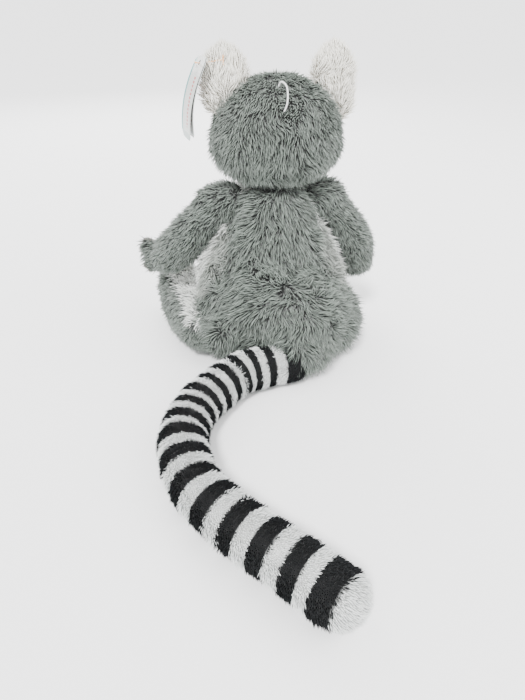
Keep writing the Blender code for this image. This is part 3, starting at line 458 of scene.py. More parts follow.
class PileTree:
    """A geometry tree that grows tufts on a skin's cover, comb and reach attributes."""

    NUMBERS = (
        "Spacing", "Length", "Length Spread", "Thickness", "Rise", "Clump Size", "Clump Pull",
        "Swirl Size", "Swirl Pull", "Curl", "Floor",
    )

    def __init__(self) -> None:
        """Build the tree once for every piece."""
        tree = bpy.data.node_groups.new("pile_tufts", "GeometryNodeTree")
        tree.interface.new_socket(name="Skin", in_out="INPUT", socket_type="NodeSocketGeometry")
        tree.interface.new_socket(name="Seed", in_out="INPUT", socket_type="NodeSocketInt")
        tree.interface.new_socket(name="Finish", in_out="INPUT", socket_type="NodeSocketMaterial")
        for name in self.NUMBERS:
            float_socket(tree, name)
        tree.interface.new_socket(name="Pile", in_out="OUTPUT", socket_type="NodeSocketGeometry")
        self.tree = tree
        self.web = Web(tree)
        self.given = self.web.add("NodeGroupInput").outputs
        self.build()

    def tuft(self) -> bpy.types.NodeSocket:
        """One tuft a unit long: a tapered three-sided lock that bends over towards its own X."""
        web = self.web
        cone = web.add(
            "GeometryNodeMeshCone",
            {
                "Vertices": 3, "Side Segments": 2, "Depth": 1.0, "Radius Top": 0.0,
                "Radius Bottom": self.given["Thickness"],
            },
            fill_type="NGON",
        )
        place = web.add("GeometryNodeInputPosition").outputs[0]
        parts = web.add("ShaderNodeSeparateXYZ", {0: place})
        height = parts.outputs["Z"]
        belly = web.math("ADD", web.math("MULTIPLY", height, web.math("SUBTRACT", 1.0, height)), 0.45)
        belly = web.math("MULTIPLY", belly, 2.1)
        bend = web.math("MULTIPLY", web.math("MULTIPLY", height, height), self.given["Curl"])
        across = web.math("ADD", web.math("MULTIPLY", parts.outputs["X"], belly), bend)
        beside = web.math("MULTIPLY", parts.outputs["Y"], belly)
        shaped = web.add("ShaderNodeCombineXYZ", {0: across, 1: beside, 2: height}).outputs[0]
        moved = web.add("GeometryNodeSetPosition", {"Geometry": cone.outputs["Mesh"], "Position": shaped})
        stored = web.add(
            "GeometryNodeStoreNamedAttribute",
            {"Geometry": moved.outputs[0], "Name": "along", "Value": height},
            data_type="FLOAT", domain="POINT",
        )
        return stored.outputs[0]

    def named(self, name: str, kind: str) -> bpy.types.NodeSocket:
        """Read an attribute that the skin carries."""
        node = self.web.add("GeometryNodeInputNamedAttribute", {"Name": name}, data_type=kind)
        return node.outputs["Attribute"]

    def push(self, place: bpy.types.NodeSocket, size: str, pull: str) -> tuple[Any, Any]:
        """A drifting vector of noise.

        Args:
            place: where the noise is read.
            size: name of the input that holds the width of one clump.
            pull: name of the input that holds how strong it is.

        Returns:
            The vector's socket and the noise's own number.
        """
        web = self.web
        scale = web.math("DIVIDE", 1.0, self.given[size])
        noise = web.add("ShaderNodeTexNoise", {"Vector": place, "Scale": scale, "Detail": 1.0})
        centred = web.vector("SUBTRACT", noise.outputs["Color"], (0.5, 0.5, 0.5))
        return web.times(web.times(centred, 4.0), self.given[pull]), noise.outputs["Fac"]

    def build(self) -> None:
        """Join distribution, direction, length and shade."""
        web, given = self.web, self.given
        spots = web.add(
            "GeometryNodeDistributePointsOnFaces",
            {
                "Mesh": given["Skin"], "Distance Min": given["Spacing"], "Density Max": 3.0e6,
                "Density Factor": self.named("cover", "FLOAT"), "Seed": given["Seed"],
            },
            distribute_method="POISSON",
        )
        place = web.add("GeometryNodeInputPosition").outputs[0]
        normal = web.add(
            "GeometryNodeStoreNamedAttribute",
            {"Geometry": spots.outputs["Points"], "Name": "facing", "Value": spots.outputs["Normal"]},
            data_type="FLOAT_VECTOR", domain="POINT",
        )
        facing = self.named("facing", "FLOAT_VECTOR")
        clump, level = self.push(place, "Clump Size", "Clump Pull")
        swirl, _ = self.push(place, "Swirl Size", "Swirl Pull")
        comb = web.vector("ADD", self.named("comb", "FLOAT_VECTOR"), swirl)
        lying = web.math("SUBTRACT", 1.0, given["Rise"])
        aim = web.vector("ADD", web.times(facing, given["Rise"]), web.times(comb, lying))
        aim = web.vector("ADD", aim, web.times(clump, lying))
        turn = web.add("FunctionNodeAxesToRotation", {0: aim, 1: comb}, primary_axis="Z", secondary_axis="X")
        chance = web.add("FunctionNodeRandomValue", {"Seed": given["Seed"]}, data_type="FLOAT").outputs[1]
        seed = web.math("ADD", given["Seed"], 7.0)
        other = web.add("FunctionNodeRandomValue", {"Seed": seed}, data_type="FLOAT").outputs[1]
        uneven = web.math("MULTIPLY", web.math("SUBTRACT", chance, 0.5), 2.0)
        tall = web.math("ADD", 1.0, web.math("MULTIPLY", uneven, given["Length Spread"]))
        tall = web.math("MULTIPLY", tall, web.math("ADD", 0.62, web.math("MULTIPLY", level, 0.76)))
        tall = web.math("MULTIPLY", tall, self.named("reach", "FLOAT"))
        tall = web.math("MULTIPLY", tall, given["Length"])
        wide = web.math("ADD", 0.70, web.math("MULTIPLY", other, 0.6))
        wide = web.math("MULTIPLY", given["Length"], wide)
        size = web.add("ShaderNodeCombineXYZ", {0: wide, 1: wide, 2: tall}).outputs[0]
        tufts = web.add(
            "GeometryNodeInstanceOnPoints",
            {
                "Points": normal.outputs[0], "Instance": self.tuft(), "Rotation": turn.outputs[0],
                "Scale": size,
            },
        )
        tone = web.math("ADD", web.math("MULTIPLY", other, 0.5), web.math("MULTIPLY", level, 0.5))
        shaded = web.add(
            "GeometryNodeStoreNamedAttribute",
            {"Geometry": tufts.outputs[0], "Name": "shade", "Value": tone},
            data_type="FLOAT", domain="INSTANCE",
        )
        real = web.add("GeometryNodeRealizeInstances", {0: shaded.outputs[0]})
        parts = web.add("ShaderNodeSeparateXYZ", {0: web.add("GeometryNodeInputPosition").outputs[0]})
        height = web.math("MAXIMUM", parts.outputs["Z"], given["Floor"])
        kept = web.add("ShaderNodeCombineXYZ", {0: parts.outputs["X"], 1: parts.outputs["Y"], 2: height})
        laid = web.add("GeometryNodeSetPosition", {"Geometry": real.outputs[0], "Position": kept.outputs[0]})
        smooth = web.add("GeometryNodeSetShadeSmooth", {0: laid.outputs[0]})
        cloth = {"Geometry": smooth.outputs[0], "Material": given["Finish"]}
        dressed = web.add("GeometryNodeSetMaterial", cloth)
        web.add("NodeGroupOutput", {0: dressed.outputs[0]})

    def grow(
        self, skin: bpy.types.Object, name: str, cut: Cut, finish: bpy.types.Material, cover: np.ndarray,
        comb: np.ndarray, reach: np.ndarray, seed: int,
    ) -> bpy.types.Object:
        """Grow a piece of pile on a skin.

        Args:
            skin: the skin, whose mesh is final.
            name: the new piece's name.
            cut: how the pile stands.
            finish: the fibres' material.
            cover: for each of the skin's corners, from 0, bare, to 1, covered.
            comb: for each corner, the way the pile is combed.
            reach: for each corner, the tufts' length as a share of the cut's.
            seed: fixes where the tufts stand.

        Returns:
            The pile as a plain mesh.
        """
        write_attribute(skin.data, "cover", cover)
        write_attribute(skin.data, "comb", comb)
        write_attribute(skin.data, "reach", reach)
        sizes = cut.value
        values = {
            "Seed": seed, "Finish": finish, "Spacing": sizes.spacing, "Length": sizes.length,
            "Length Spread": sizes.spread, "Thickness": sizes.thickness, "Rise": sizes.rise,
            "Clump Size": sizes.clump, "Clump Pull": sizes.pull, "Swirl Size": sizes.swirl,
            "Swirl Pull": sizes.swirl_pull, "Curl": sizes.curl, "Floor": SEAT_CLEAR,
        }
        pile = evaluated_copy(skin, name, self.tree, values)
        pile.data.materials.clear()
        pile.data.materials.append(finish)
        for attribute in [item.name for item in pile.data.attributes]:
            if attribute in ("cover", "comb", "reach", "facing", "band"):
                pile.data.attributes.remove(pile.data.attributes[attribute])
        LOG.info("%s: %d tufts' faces", name, len(pile.data.polygons))
        return pile


def evaluated_copy(
    base: bpy.types.Object, name: str, tree: bpy.types.NodeTree, values: dict[str, Any]
) -> bpy.types.Object:
    """Run a geometry tree on an object and keep the result as a plain mesh.

    Args:
        base: the object that the tree runs on, left as it was.
        name: the new object's name.
        tree: the geometry tree.
        values: what each of the tree's inputs is given, by its name.

    Returns:
        The new object.
    """
    modifier = base.modifiers.new(tree.name, "NODES")
    modifier.node_group = tree
    for item in tree.interface.items_tree:
        if item.item_type == "SOCKET" and item.in_out == "INPUT" and item.name in values:
            modifier[item.identifier] = values[item.name]
    base.update_tag()
    mesh = applied(base, name)
    base.modifiers.remove(modifier)
    return link(name, mesh)


def applied(thing: bpy.types.Object, name: str) -> bpy.types.Mesh:
    """The object's mesh with its modifiers worked in, under a name of its own."""
    bpy.context.view_layer.update()
    graph = bpy.context.evaluated_depsgraph_get()
    mesh = bpy.data.meshes.new_from_object(
        thing.evaluated_get(graph), preserve_all_data_layers=True, depsgraph=graph
    )
    mesh.name = name
    return mesh


# ================================================================ mesh helpers


def link(name: str, data: Any) -> bpy.types.Object:
    """Make an object at the origin and put it in the scene."""
    thing = bpy.data.objects.new(name, data)
    bpy.context.scene.collection.objects.link(thing)
    return thing


def points_of(mesh: bpy.types.Mesh) -> np.ndarray:
    """The mesh's corners, one row each."""
    flat = np.empty(len(mesh.vertices) * 3)
    mesh.vertices.foreach_get("co", flat)
    return flat.reshape(-1, 3)


def normals_of(mesh: bpy.types.Mesh) -> np.ndarray:
    """The mesh's corner normals, one row each."""
    flat = np.empty(len(mesh.vertices) * 3)
    mesh.vertices.foreach_get("normal", flat)
    return flat.reshape(-1, 3)


def place_points(mesh: bpy.types.Mesh, points: np.ndarray) -> None:
    """Move the mesh's corners."""
    mesh.vertices.foreach_set("co", points.astype(np.float32).ravel())
    mesh.update()


def write_attribute(mesh: bpy.types.Mesh, name: str, values: np.ndarray) -> None:
    """Store a number or a vector for each corner."""
    vector = values.ndim == 2
    found = mesh.attributes.get(name)
    if found is None:
        found = mesh.attributes.new(name, "FLOAT_VECTOR" if vector else "FLOAT", "POINT")
    found.data.foreach_set("vector" if vector else "value", values.astype(np.float32).ravel())


def smooth_step(values: np.ndarray, low: float, high: float) -> np.ndarray:
    """Rise smoothly from 0 at low to 1 at high."""
    share = np.clip((values - low) / (high - low), 0.0, 1.0)
    return share * share * (3.0 - 2.0 * share)


def away_from(points: np.ndarray, source: Sequence[float]) -> np.ndarray:
    """Unit vectors that lead away from a place."""
    lead = points - np.array(source)
    return lead / np.maximum(np.linalg.norm(lead, axis=1, keepdims=True), 1e-6)


def tree_of(*nodes: str) -> BVHTree:
    """A search tree of some of the frame's nodes."""
    corners: list[Vector] = []
    faces: list[tuple[int, ...]] = []
    for node in nodes:
        mesh = frame["nodes"][node].data
        start = len(corners)
        corners += [vertex.co.copy() for vertex in mesh.vertices]
        faces += [tuple(start + i for i in polygon.vertices) for polygon in mesh.polygons]
    return BVHTree.FromPolygons(corners, faces)


def distance_to(points: np.ndarray, *nodes: str) -> np.ndarray:
    """How far each point is from the nearest face of some of the frame's nodes."""
    tree = tree_of(*nodes)
    return np.array([tree.find_nearest(Vector(point))[3] for point in points])


def joint_of(child: str) -> Vector:
    """Where the joint of a body is."""
    return Vector(next(item for item in frame["joints"] if item["child"] == child)["pos_m"])


def share_of(points: np.ndarray, node: str, others: Sequence[str], soft: float = 0.0012) -> np.ndarray:
    """Near 1 where a node is the nearest of the frame's nodes, and near 0 where another is."""
    margin = distance_to(points, *others) - distance_to(points, node)
    return smooth_step(margin, -soft, soft)


def mesh_object(name: str, points: Sequence[Any], faces: Sequence[Sequence[int]]) -> bpy.types.Object:
    """Make a mesh object with outward faces from corners and faces."""
    mesh = bpy.data.meshes.new(name)
    mesh.from_pydata([tuple(point) for point in points], [], [tuple(face) for face in faces])
    bm = bmesh.new()
    bm.from_mesh(mesh)
    bmesh.ops.remove_doubles(bm, verts=bm.verts, dist=SAME_PLACE)
    bmesh.ops.recalc_face_normals(bm, faces=bm.faces)
    bm.to_mesh(mesh)
    bm.free()
    mesh.shade_smooth()
    return link(name, mesh)


def tube_faces(rings: int, sides: int) -> list[tuple[int, ...]]:
    """Faces that join successive rings of corners, with a cap at each end."""
    faces = []
    for low in range(rings - 1):
        for i in range(sides):
            j = (i + 1) % sides
            faces.append((low * sides + i, low * sides + j, (low + 1) * sides + j, (low + 1) * sides + i))
    faces.append(tuple(range(sides)))
    faces.append(tuple(range((rings - 1) * sides, rings * sides)))
    return faces


def dress(thing: bpy.types.Object, finish: bpy.types.Material) -> bpy.types.Object:
    """Give an object one material."""
    thing.data.materials.clear()
    thing.data.materials.append(finish)
    return thing


def spline(rows: Sequence[Sequence[float]], where: float) -> np.ndarray:
    """Catmull-Rom point of a table at a place counted in rows."""
    table = np.array(rows)
    last = len(table) - 1
    index = max(0, min(int(where), last - 1))
    f = where - index
    p, q, r, s = table[max(index - 1, 0)], table[index], table[index + 1], table[min(index + 2, last)]
    bend, twist = 2 * p - 5 * q + 4 * r - s, 3 * q - p - 3 * r + s
    return 0.5 * (2 * q + (r - p) * f + bend * f ** 2 + twist * f ** 3)


# ================================================================ skins filled by cloth pressure


@dataclass
class Stuffed:
    """A closed skin that starts from fillings of the frame and swells as it is stuffed."""

    name: str
    fillings: tuple[str, ...]
    offset: float                  # from the filling to the slack skin
    swell: float                   # most that the pressure may add
    voxel: float = 0.0042
    lobes: tuple[tuple[Point, Point], ...] = ()     # extra ellipsoids sewn in, as middle and half sizes
    skin: bpy.types.Object | None = field(default=None, init=False)
    rest: np.ndarray | None = field(default=None, init=False)

    def cut_out(self) -> None:
        """Remesh the fillings into one even skin, and keep only its outer shell."""
        bm = bmesh.new()
        for node in self.fillings:
            bm.from_mesh(frame["nodes"][node].data)
        for middle, half in self.lobes:
            place = Matrix.Translation(middle) @ Matrix.Diagonal((*half, 1.0))
            bmesh.ops.create_icosphere(bm, subdivisions=3, radius=1.0, matrix=place)
        bmesh.ops.remove_doubles(bm, verts=bm.verts, dist=SAME_PLACE)
        mesh = bpy.data.meshes.new(self.name)
        bm.to_mesh(mesh)
        bm.free()
        rough = link(f"{self.name}_rough", mesh)
        remesh = rough.modifiers.new("even", "REMESH")
        remesh.mode = "VOXEL"
        remesh.voxel_size = self.voxel
        even = applied(rough, self.name)
        bpy.data.objects.remove(rough)
        keep_largest_shell(even)
        self.skin = link(self.name, even)
        smooth_mesh(self.skin, 4)
        points = points_of(even)
        place_points(even, points + normals_of(even) * self.offset)
        self.rest = points_of(even)

    def start_pressure(self) -> None:
        """Add the cloth and its pressure."""
        cloth = self.skin.modifiers.new("stuffing", "CLOTH")
        cloth.settings.use_pressure = True
        cloth.settings.uniform_pressure_force = 4.0
        cloth.settings.effector_weights.gravity = 0.0
        cloth.settings.quality = 4
        cloth.point_cache.frame_start = 1
        cloth.point_cache.frame_end = LAST_FRAME

    def finish_pressure(self, swollen: np.ndarray | None) -> None:
        """Keep the pressed shape within its room, and divide it once.

        Args:
            swollen: the simulated corners, or None where the simulation is skipped.
        """
        mesh = self.skin.data
        if swollen is None:
            swollen = self.rest + normals_of(mesh) * self.swell
        move = swollen - self.rest
        length = np.maximum(np.linalg.norm(move, axis=1, keepdims=True), 1e-9)
        move *= np.minimum(1.0, self.swell / length)
        place_points(mesh, self.rest + move)
        smooth_mesh(self.skin, 2)
        divide = self.skin.modifiers.new("divide", "SUBSURF")
        divide.levels = divide.render_levels = 1
        fine = applied(self.skin, self.name)
        self.skin.modifiers.clear()
        self.skin.data = fine
        points = points_of(fine)
        points[:, 2] = np.maximum(points[:, 2], SEAT_CLEAR)
        place_points(fine, points)
        fine.shade_smooth()


def keep_largest_shell(mesh: bpy.types.Mesh) -> None:
    """Delete the shells that a remesh leaves inside a hollow."""
    bm = bmesh.new()
    bm.from_mesh(mesh)
    left = set(bm.verts)
    shells = []
    while left:
        shell, edge = set(), [next(iter(left))]
        while edge:
            vertex = edge.pop()
            if vertex in shell:
                continue
            shell.add(vertex)
            edge += [e.other_vert(vertex) for e in vertex.link_edges if e.other_vert(vertex) not in shell]
        left -= shell
        shells.append(shell)
    largest = max(shells, key=len)
    bmesh.ops.delete(bm, geom=[vertex for vertex in bm.verts if vertex not in largest], context="VERTS")
    bm.to_mesh(mesh)
    bm.free()


def smooth_mesh(thing: bpy.types.Object, times: int) -> None:
    """Even out a mesh's corners among their neighbours."""
    bm = bmesh.new()
    bm.from_mesh(thing.data)
    for _ in range(times):
        bmesh.ops.smooth_vert(
            bm, verts=bm.verts, factor=0.5, use_axis_x=True, use_axis_y=True, use_axis_z=True
        )
    bm.to_mesh(thing.data)
    bm.free()
    thing.data.update()


def fill_all(plans: Sequence[Stuffed]) -> None:
    """Cut out every skin and stuff them all in one simulation."""
    for plan in plans:
        plan.cut_out()
    for plan in plans:
        plan.start_pressure()
    scene = bpy.context.scene
    scene.frame_start, scene.frame_end = 1, LAST_FRAME
    for step in range(1, LAST_FRAME + 1):
        scene.frame_set(step)
    graph = bpy.context.evaluated_depsgraph_get()
    swollen = [points_of(plan.skin.evaluated_get(graph).data) for plan in plans]
    for plan, points in zip(plans, swollen):
        plan.skin.modifiers.clear()
        plan.finish_pressure(points)
    scene.frame_set(1)


# ================================================================ stage


@dataclass
class Studio:
    """The pale floor, the soft light and the camera."""

    eye: Point = (0.1073, 0.5538, 0.3680)
    gaze: Point = (-0.1422, -0.8067, -0.5736)
    lens: float = 27.05
    floor_size: float = 80.0
    sky: float = 1.8
    backdrop: float = 3.2                  # the plain wall behind, as bright as the floor

    def camera(self) -> None:
        """Stand the camera behind and above the toy."""
        data = bpy.data.cameras.new("camera")
        data.lens = self.lens
        data.sensor_width = 36.0
        data.clip_start = 0.02
        camera = link("camera", data)
        camera.location = self.eye
        camera.rotation_mode = "QUATERNION"
        camera.rotation_quaternion = Vector(self.gaze).to_track_quat("-Z", "Y")
        bpy.context.scene.camera = camera

    def lamp(self, name: str, place: Point, aim: Point, size: float, power: float) -> None:
        """Hang one soft square lamp."""
        data = bpy.data.lights.new(name, "AREA")
        data.shape = "SQUARE"
        data.size = size
        data.energy = power
        lamp = link(name, data)
        lamp.location = place
        lamp.rotation_mode = "QUATERNION"
        lamp.rotation_quaternion = (Vector(aim) - Vector(place)).to_track_quat("-Z", "Y")

    def sun(self, name: str, place: Point, strength: float, spread: float) -> None:
        """Light everything evenly from one side, with soft-edged shadows."""
        data = bpy.data.lights.new(name, "SUN")
        data.energy = strength
        data.angle = spread
        light = link(name, data)
        light.rotation_mode = "QUATERNION"
        light.rotation_quaternion = (-Vector(place)).to_track_quat("-Z", "Y")

    def build(self) -> None:
        """Lay the floor, hang the lamps and light the sky."""
        half = self.floor_size / 2
        corners = [(-half, -half, 0), (half, -half, 0), (half, half, 0), (-half, half, 0)]
        floor = mesh_object("floor", corners, [(0, 1, 2, 3)])
        material, web, shader, place = new_material("pale_floor")
        grain = web.noise(place, 240.0, 3.0).outputs["Fac"]
        level = web.math("ADD", web.math("MULTIPLY", grain, 0.02), 0.96)
        web.tree.links.new(web.times((0.96, 0.96, 0.965), level), shader.inputs["Base Color"])
        shader.inputs["Roughness"].default_value = 0.9
        dress(floor, material)
        middle = (0.03, 0.08, 0.10)
        self.sun("key_light", (0.42, 0.80, 1.15), 5.8, math.radians(12))
        self.lamp("fill_lamp", (-1.05, 0.55, 1.10), middle, 1.2, 16.0)
        self.lamp("front_lamp", (0.20, -1.30, 1.00), middle, 1.2, 22.0)
        world = bpy.data.worlds.new("studio")
        world.use_nodes = True
        web = Web(world.node_tree)
        sky = world.node_tree.nodes["Background"]
        sky.inputs["Color"].default_value = (1.0, 1.0, 1.0, 1.0)
        sky.inputs["Strength"].default_value = self.sky
        plain = {"Color": (1.0, 1.0, 1.0, 1.0), "Strength": self.backdrop}
        backdrop = web.add("ShaderNodeBackground", plain)
        seen = web.add("ShaderNodeLightPath").outputs["Is Camera Ray"]
        both = web.add("ShaderNodeMixShader", {0: seen, 1: sky.outputs[0], 2: backdrop.outputs[0]})
        web.tree.links.new(both.outputs[0], world.node_tree.nodes["World Output"].inputs["Surface"])
        bpy.context.scene.world = world


# ================================================================ hanging loop


@dataclass
class HangingLoop:
    """The short nylon loop out of the back of the head and in again."""

    radius: float = 0.00075
    middle_line: float = -0.005
    route: tuple[Point, ...] = (
        (0.0056, 0.0335, 0.2900), (0.0052, 0.0352, 0.2922), (0.0046, 0.0380, 0.2940),
        (0.0032, 0.0414, 0.2942), (0.0017, 0.0446, 0.2928), (0.0008, 0.0480, 0.2901),
        (0.0008, 0.0510, 0.2864), (0.0012, 0.0530, 0.2822), (0.0018, 0.0536, 0.2783),
        (0.0026, 0.0528, 0.2750), (0.0036, 0.0512, 0.2720),
    )
    steps: int = 5

    def build(self) -> None:
        count = (len(self.route) - 1) * self.steps + 1
        line = [spline(self.route, i / self.steps) + (self.middle_line, 0, 0) for i in range(count)]
        curve = bpy.data.curves.new("hanging_strand", "CURVE")
        curve.dimensions = "3D"
        curve.bevel_depth = self.radius
        curve.bevel_resolution = 4
        curve.use_fill_caps = True
        run = curve.splines.new("POLY")
        run.points.add(len(line) - 1)
        for point, place in zip(run.points, line):
            point.co = (*place, 1.0)
        run.use_smooth = True
        strand = link("hanging_strand", curve)
        curve.materials.append(NylonFinish().material())
        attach(strand, "head")
        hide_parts("hanging_loop")


# ================================================================ shared furniture of the classes


@dataclass
class Kit:
    """What every sub-assembly uses: the tuft tree, the stitch tree and the materials made so far."""

    pile: PileTree
    made: dict[str, bpy.types.Material] = field(default_factory=dict)

    def finish(self, finish: Any) -> bpy.types.Material:
        """The material of a finish, built the first time it is asked for."""
        if finish.name not in self.made:
            self.made[finish.name] = finish.material()
        return self.made[finish.name]

    def grow(
        self, skin: bpy.types.Object, name: str, cut: Cut, finish: PileFinish, cover: np.ndarray,
        source: Sequence[float] | np.ndarray, body: str, slot: str, seed: int,
        reach: np.ndarray | None = None,
    ) -> bpy.types.Object:
        """Grow pile that rides on one body.

        Args:
            skin: what it grows on.
            name: the new piece's name.
            cut: how it stands.
            finish: its fibres.
            cover: where it grows, for each of the skin's corners.
            source: the place it is combed away from, or a vector for each corner.
            body: what it rides on.
            slot: the record's material slot; not used.
            seed: fixes where the tufts stand.
            reach: length for each corner, as a share of the cut's.

        Returns:
            The pile.
        """
        points = points_of(skin.data)
        comb = source if isinstance(source, np.ndarray) else away_from(points, source)
        full = np.ones(len(points)) if reach is None else reach
        pile = self.pile.grow(skin, name, cut, self.finish(finish), cover, comb, full, seed)
        if body:
            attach(pile, body)
        return pile

    def sew(
        self, thing: bpy.types.Object, finish: Any, body: str, slot: str, *nodes: str, fill: float = 0.0
    ) -> None:
        """Args:
            thing: the piece.
            finish: its material's finish.
            body: what it rides on.
            slot: the record's material slot; not used.
            *nodes: the frame's nodes that it stands in for.
            fill: how full a padded piece is, or 0 for one that isn't padded; not used.
        """
        dress(thing, self.finish(finish))
        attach(thing, body)
        if nodes:
            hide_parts(*nodes)


def thread_run(
    name: str, line: Sequence[Sequence[float]], finish: bpy.types.Material, stitch: float = 0.0026,
    gap: float = 0.0008, radius: float = 0.00045,
) -> bpy.types.Object:
    """Sew a run of stitches along a line of points.

    Args:
        name: the new piece's name.
        line: the points that the seam follows.
        finish: the thread's material.
        stitch: length of one stitch.
        gap: room between two stitches.
        radius: half of the thread's thickness.

    Returns:
        The stitches as one mesh.
    """
    curve = bpy.data.curves.new(f"{name}_line", "CURVE")
    curve.dimensions = "3D"
    run = curve.splines.new("POLY")
    run.points.add(len(line) - 1)
    for point, place in zip(run.points, line):
        point.co = (*place, 1.0)
    guide = link(f"{name}_line", curve)
    tree = stitch_tree()
    values = {"Step": stitch + gap, "Stitch": stitch, "Radius": radius, "Finish": finish}
    sewn = evaluated_copy(guide, name, tree, values)
    bpy.data.objects.remove(guide)
    return dress(sewn, finish)


def stitch_tree() -> bpy.types.NodeTree:
    """A geometry tree that lays small round-ended stitches along a curve, built once."""
    found = bpy.data.node_groups.get("stitch_run")
    if found is not None:
        return found
    tree = bpy.data.node_groups.new("stitch_run", "GeometryNodeTree")
    tree.interface.new_socket(name="Line", in_out="INPUT", socket_type="NodeSocketGeometry")
    for name in ("Step", "Stitch", "Radius"):
        float_socket(tree, name)
    tree.interface.new_socket(name="Finish", in_out="INPUT", socket_type="NodeSocketMaterial")
    tree.interface.new_socket(name="Seam", in_out="OUTPUT", socket_type="NodeSocketGeometry")
    web = Web(tree)
    given = web.add("NodeGroupInput").outputs
    run = {"Curve": given["Line"], "Length": given["Step"]}
    spots = web.add("GeometryNodeCurveToPoints", run, mode="LENGTH")
    ball = web.add("GeometryNodeMeshUVSphere", {"Segments": 6, "Rings": 5, "Radius": 1.0})
    half = web.math("DIVIDE", given["Stitch"], 2.0)
    size = web.add("ShaderNodeCombineXYZ", {0: given["Radius"], 1: given["Radius"], 2: half})
    sewn = web.add(
        "GeometryNodeInstanceOnPoints",
        {
            "Points": spots.outputs["Points"], "Instance": ball.outputs["Mesh"],
            "Rotation": spots.outputs["Rotation"], "Scale": size.outputs[0],
        },
    )
    real = web.add("GeometryNodeRealizeInstances", {0: sewn.outputs[0]})
    smooth = web.add("GeometryNodeSetShadeSmooth", {0: real.outputs[0]})
    cloth = {"Geometry": smooth.outputs[0], "Material": given["Finish"]}
    dressed = web.add("GeometryNodeSetMaterial", cloth)
    web.add("NodeGroupOutput", {0: dressed.outputs[0]})
    return tree


def cloth_patch(
    skin: bpy.types.Object, name: str, inside: np.ndarray, lift: float, thick: float
) -> bpy.types.Object:
    """Cut a patch of cloth from a skin's own surface.

    Args:
        skin: the skin it is sewn on.
        name: the patch's name.
        inside: for each of the skin's corners, above a half where the patch is.
        lift: how far the patch's face stands over the skin.
        thick: the patch's thickness.

    Returns:
        The patch, closed all round.
    """
    points = points_of(skin.data) + normals_of(skin.data) * lift
    faces = [tuple(p.vertices) for p in skin.data.polygons if all(inside[i] > 0.5 for i in p.vertices)]
    used = sorted({i for face in faces for i in face})
    order = {old: new for new, old in enumerate(used)}
    patch = mesh_object(name, points[used], [[order[i] for i in face] for face in faces])
    bm = bmesh.new()
    bm.from_mesh(patch.data)
    bm.normal_update()
    outward = normals_of(skin.data)[used].mean(axis=0)
    facing = sum((face.normal * face.calc_area() for face in bm.faces), Vector())
    if facing.dot(Vector(outward)) < 0:
        bmesh.ops.reverse_faces(bm, faces=bm.faces)
    bm.to_mesh(patch.data)
    bm.free()
    wall = patch.modifiers.new("thickness", "SOLIDIFY")
    wall.thickness = thick
    wall.offset = -1.0
    solid = applied(patch, name)
    patch.modifiers.clear()
    patch.data = solid
    solid.shade_smooth()
    return patch


def press_line(
    thing: bpy.types.Object, start: Sequence[float], end: Sequence[float], depth: float, width: float,
    inward: Sequence[float],
) -> None:
    """Press a groove into a mesh along a straight line, seen against a direction."""
    points = points_of(thing.data)
    a, b, n = np.array(start), np.array(end), np.array(inward) / np.linalg.norm(inward)
    run = b - a
    share = np.clip(((points - a) @ run) / (run @ run), 0.0, 1.0)
    gap = points - (a + share[:, None] * run)
    gap -= (gap @ n)[:, None] * n
    near = 1.0 - smooth_step(np.linalg.norm(gap, axis=1), 0.0, width)
    place_points(thing.data, points + near[:, None] * depth * n)


# ================================================================ torso


